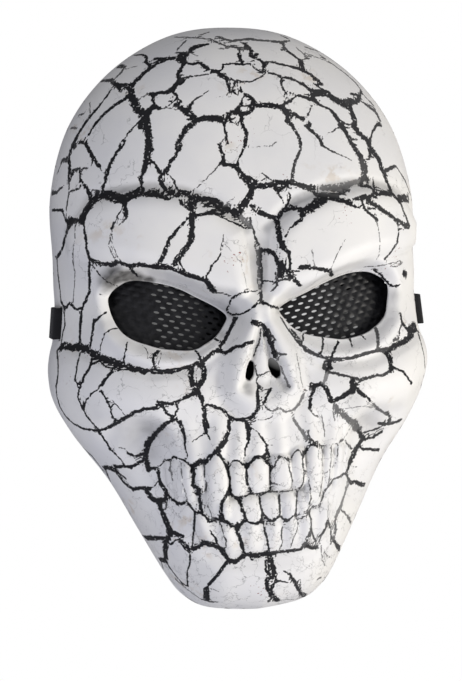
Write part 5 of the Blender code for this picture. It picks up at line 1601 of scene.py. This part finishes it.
black_mesh, mesh_tree, mesh_shader = new_finish("mesh_black", (0.012, 0.012, 0.013), 0.42)
mesh_shader.inputs["Specular IOR Level"].default_value = 0.3
mesh_place = in_millimetres(mesh_tree)
mesh_dust = ramp(mesh_tree, grain(mesh_tree, mesh_place, 3.0, 4.0, 0.6), 0.35, 0.75)
mesh_tree.links.new(blend(mesh_tree, mesh_dust, (0.006, 0.006, 0.007), (0.02, 0.02, 0.022)),
                    mesh_shader.inputs["Base Color"])
mesh_tree.links.new(ramp(mesh_tree, mesh_dust, 0.0, 1.0, 0.36, 0.55), mesh_shader.inputs["Roughness"])
relief_of(mesh_tree, mesh_shader, grain(mesh_tree, mesh_place, 0.5, 2.0), 0.03)
left_sheet = eye_sheet("eye_net_left", "eye_mesh_left", holes[0], -1.0, (-47.0, 0.0), black_mesh)
right_sheet = eye_sheet("eye_net_right", "eye_mesh_right", holes[1], 1.0, (0.0, 50.0), black_mesh)
for piece in (left_sheet, right_sheet):
    print(piece.name, "triangles:", sum(len(p.vertices) - 2 for p in piece.data.polygons))

# %% [markdown]
# ## The strap
#
# One flat woven elastic band, 15 mm wide, runs inside from slot to slot. At each temple it passes out
# through the slot, down outside and back in under the rim, and is sewn to itself. Its loose middle lies on
# the floor, bowed towards the crown. A flat band has a fixed section, so it is a grid bent along the route,
# with its own map of width and length for the weave.

# %% Strap route, from the sizes of the solid part
BAND, THICK, GAP = 15.0, 1.3, 0.35
TEMPLE_LEAN = 0.105
SEWN, BOW, BOW_LONG = 19.0, 48.0, 92.0
LAY = THICK / 2 + 0.02


def wall_x(z, inset):
    """Outer face of the temple wall at a height, on the right side, pushed in by inset."""
    s = np.linspace(0.7, 1.0, 600)
    line = dome(s, np.full(s.shape, math.atan2(SLOT_Y - SHIFT_Y, 90.0)))
    x = np.interp(-z, -line[:, 2], line[:, 0])
    h = broad_relief(np.array([x]), np.array([SLOT_Y - SHIFT_Y]))[0] * smooth(z / 30.0)
    return float(x + h - inset)


def rounded(corners, steps=5):
    """A route through (x, z, radius) with arcs at its corners."""
    out = [np.array(corners[0][:2])]
    for a, b, c in zip(corners[:-2], corners[1:-1], corners[2:]):
        p, q, r = (np.array(k[:2]) for k in (a, b, c))
        u, v = (p - q) / np.linalg.norm(p - q), (r - q) / np.linalg.norm(r - q)
        half = math.acos(max(-1.0, min(1.0, float(u @ v)))) / 2
        back = min(b[2] / math.tan(half), 0.48 * np.linalg.norm(p - q), 0.48 * np.linalg.norm(r - q))
        radius = back * math.tan(half)
        mid = q + (u + v) / np.linalg.norm(u + v) * radius / math.sin(half)
        for k in range(steps + 1):
            way = (q + u * back - mid) * (1 - k / steps) + (q + v * back - mid) * (k / steps)
            out.append(mid + way / np.linalg.norm(way) * radius)
    return out + [np.array(corners[-1][:2])]


inside_x = wall_x(SLOT_Z, WALL + 0.9 + GAP + THICK / 2)
outside_x = wall_x(SLOT_Z - 8.0, -(GAP + THICK / 2 + 0.3))
bar_low = ARCH_TOP - GAP - THICK / 2 - 1.1
loose = [(0.0, LAY + 1.6, 0), (30.0, LAY, 10), (inside_x - 14.0, LAY, 10), (inside_x - 3.5, 13.0, 10),
         (inside_x - 1.6, SLOT_Z - 20.0, 10), (inside_x, SLOT_Z, 1.5)]
turned = [(outside_x, SLOT_Z, 1.5), (outside_x + 0.8, bar_low, 1.5), (inside_x + 0.1, bar_low - 0.4, 1.5),
          (inside_x - 0.2, 25.5, 0)]


def half_route():
    """Points (x, y, z) from the middle of the strap to its sewn end, on the right."""
    bends = [np.array(p) for p in rounded(loose + turned)]
    route = [bends[0]]
    for b in bends[1:]:
        far = np.linalg.norm(b - route[-1])
        count = round(far / 3.0 + 0.4)
        route += [route[-1] + (b - route[-1]) * k / count for k in range(1, count + 1)] if count else []
    route = np.array(route)
    slot_at = int(np.argmax(route[:, 1] > SLOT_Z - 2.0))
    way = np.concatenate([[0.0], np.cumsum(np.linalg.norm(np.diff(route, axis=0), axis=1))])
    y = SLOT_Y + BOW * smooth((way[slot_at] - way - SEWN) / BOW_LONG)
    return np.stack([route[:, 0], y, route[:, 1]], axis=-1)


half = half_route()
route = np.vstack([half[:0:-1] * [-1, 1, 1], half])
print("strap length, mm:", round(float(np.linalg.norm(np.diff(route, axis=0), axis=1).sum())))

# %% The band along its route
# section of the band: share of the width, share of the thickness
SECTION = [(-0.5, -0.2), (-0.485, -0.5), (-0.3, -0.5), (-0.1, -0.5), (0.1, -0.5), (0.3, -0.5), (0.485, -0.5),
           (0.5, -0.2), (0.5, 0.2), (0.485, 0.5), (0.3, 0.5), (0.1, 0.5), (-0.1, 0.5), (-0.3, 0.5),
           (-0.485, 0.5),
           (-0.5, 0.2), (-0.5, -0.2)]


def band_along(route):
    tangent = np.gradient(route, axis=0)
    flat = np.hypot(tangent[:, 0], tangent[:, 2])
    face = np.stack([-tangent[:, 2] / flat, 0.0 * flat, tangent[:, 0] / flat], axis=-1)
    slant = np.linalg.norm(tangent, axis=1) / flat
    way = np.concatenate([[0.0], np.cumsum(np.linalg.norm(np.diff(route, axis=0), axis=1))])
    bm = bmesh.new()
    weave = bm.loops.layers.uv.new("weave")
    bmesh.ops.create_grid(bm, x_segments=len(SECTION) - 1, y_segments=len(route) - 1, size=1.0)
    bm.verts.ensure_lookup_table()
    marks = {}
    for k, vert in enumerate(bm.verts):
        i, j = divmod(k, len(SECTION))
        across, through = SECTION[j]
        dy = across * BAND * slant[i]
        spot = route[i] + face[i] * through * THICK + np.array([0.0, dy, 0.0])
        spot[0] -= TEMPLE_LEAN * dy * min(max(spot[2], 0.0) / 30.0, 1.0) * math.copysign(1.0, spot[0])
        vert.co = spot
        marks[vert] = (across * BAND if j != len(SECTION) - 1 else -BAND / 2, way[i])
    for f in bm.faces:
        for loop in f.loops:
            loop[weave].uv = marks[loop.vert]
    bmesh.ops.remove_doubles(bm, verts=bm.verts, dist=0.01)
    for edges in open_loops(bm):
        bmesh.ops.contextual_create(bm, geom=edges)
    bmesh.ops.recalc_face_normals(bm, faces=bm.faces)
    return bm


def woven_elastic():
    """Black elastic: ribs along the band and picks across it."""
    mat, tree, shader = new_finish("strap_elastic", (0.01, 0.01, 0.011), 0.85)
    uv = tree.nodes.new("ShaderNodeUVMap")
    uv.uv_map = "weave"
    parts = add_node(tree, "ShaderNodeSeparateXYZ", {0: uv.outputs[0]})
    ribs = maths(tree, "SINE", maths(tree, "MULTIPLY", parts.outputs[0], 2.0 * math.pi / 1.1))
    picks = maths(tree, "SINE", maths(tree, "MULTIPLY", parts.outputs[1], 2.0 * math.pi / 0.8))
    weave = maths(tree, "MULTIPLY_ADD", maths(tree, "MULTIPLY", ribs, picks), 0.5, 0.5)
    fuzz = grain(tree, uv.outputs[0], 0.35, 3.0)
    height = maths(tree, "ADD", weave, maths(tree, "MULTIPLY", fuzz, 0.6))
    black = blend(tree, maths(tree, "MULTIPLY", height, 0.6), (0.004, 0.004, 0.005), (0.02, 0.02, 0.022))
    tree.links.new(black, shader.inputs["Base Color"])
    shader.inputs["Sheen Weight"].default_value = 0.1
    shader.inputs["Specular IOR Level"].default_value = 0.25
    relief_of(tree, shader, height, 0.25)
    return mat


strap = new_piece("elastic_strap", band_along(route), woven_elastic())
strap.data.shade_smooth()
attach(strap, "root")
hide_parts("strap")
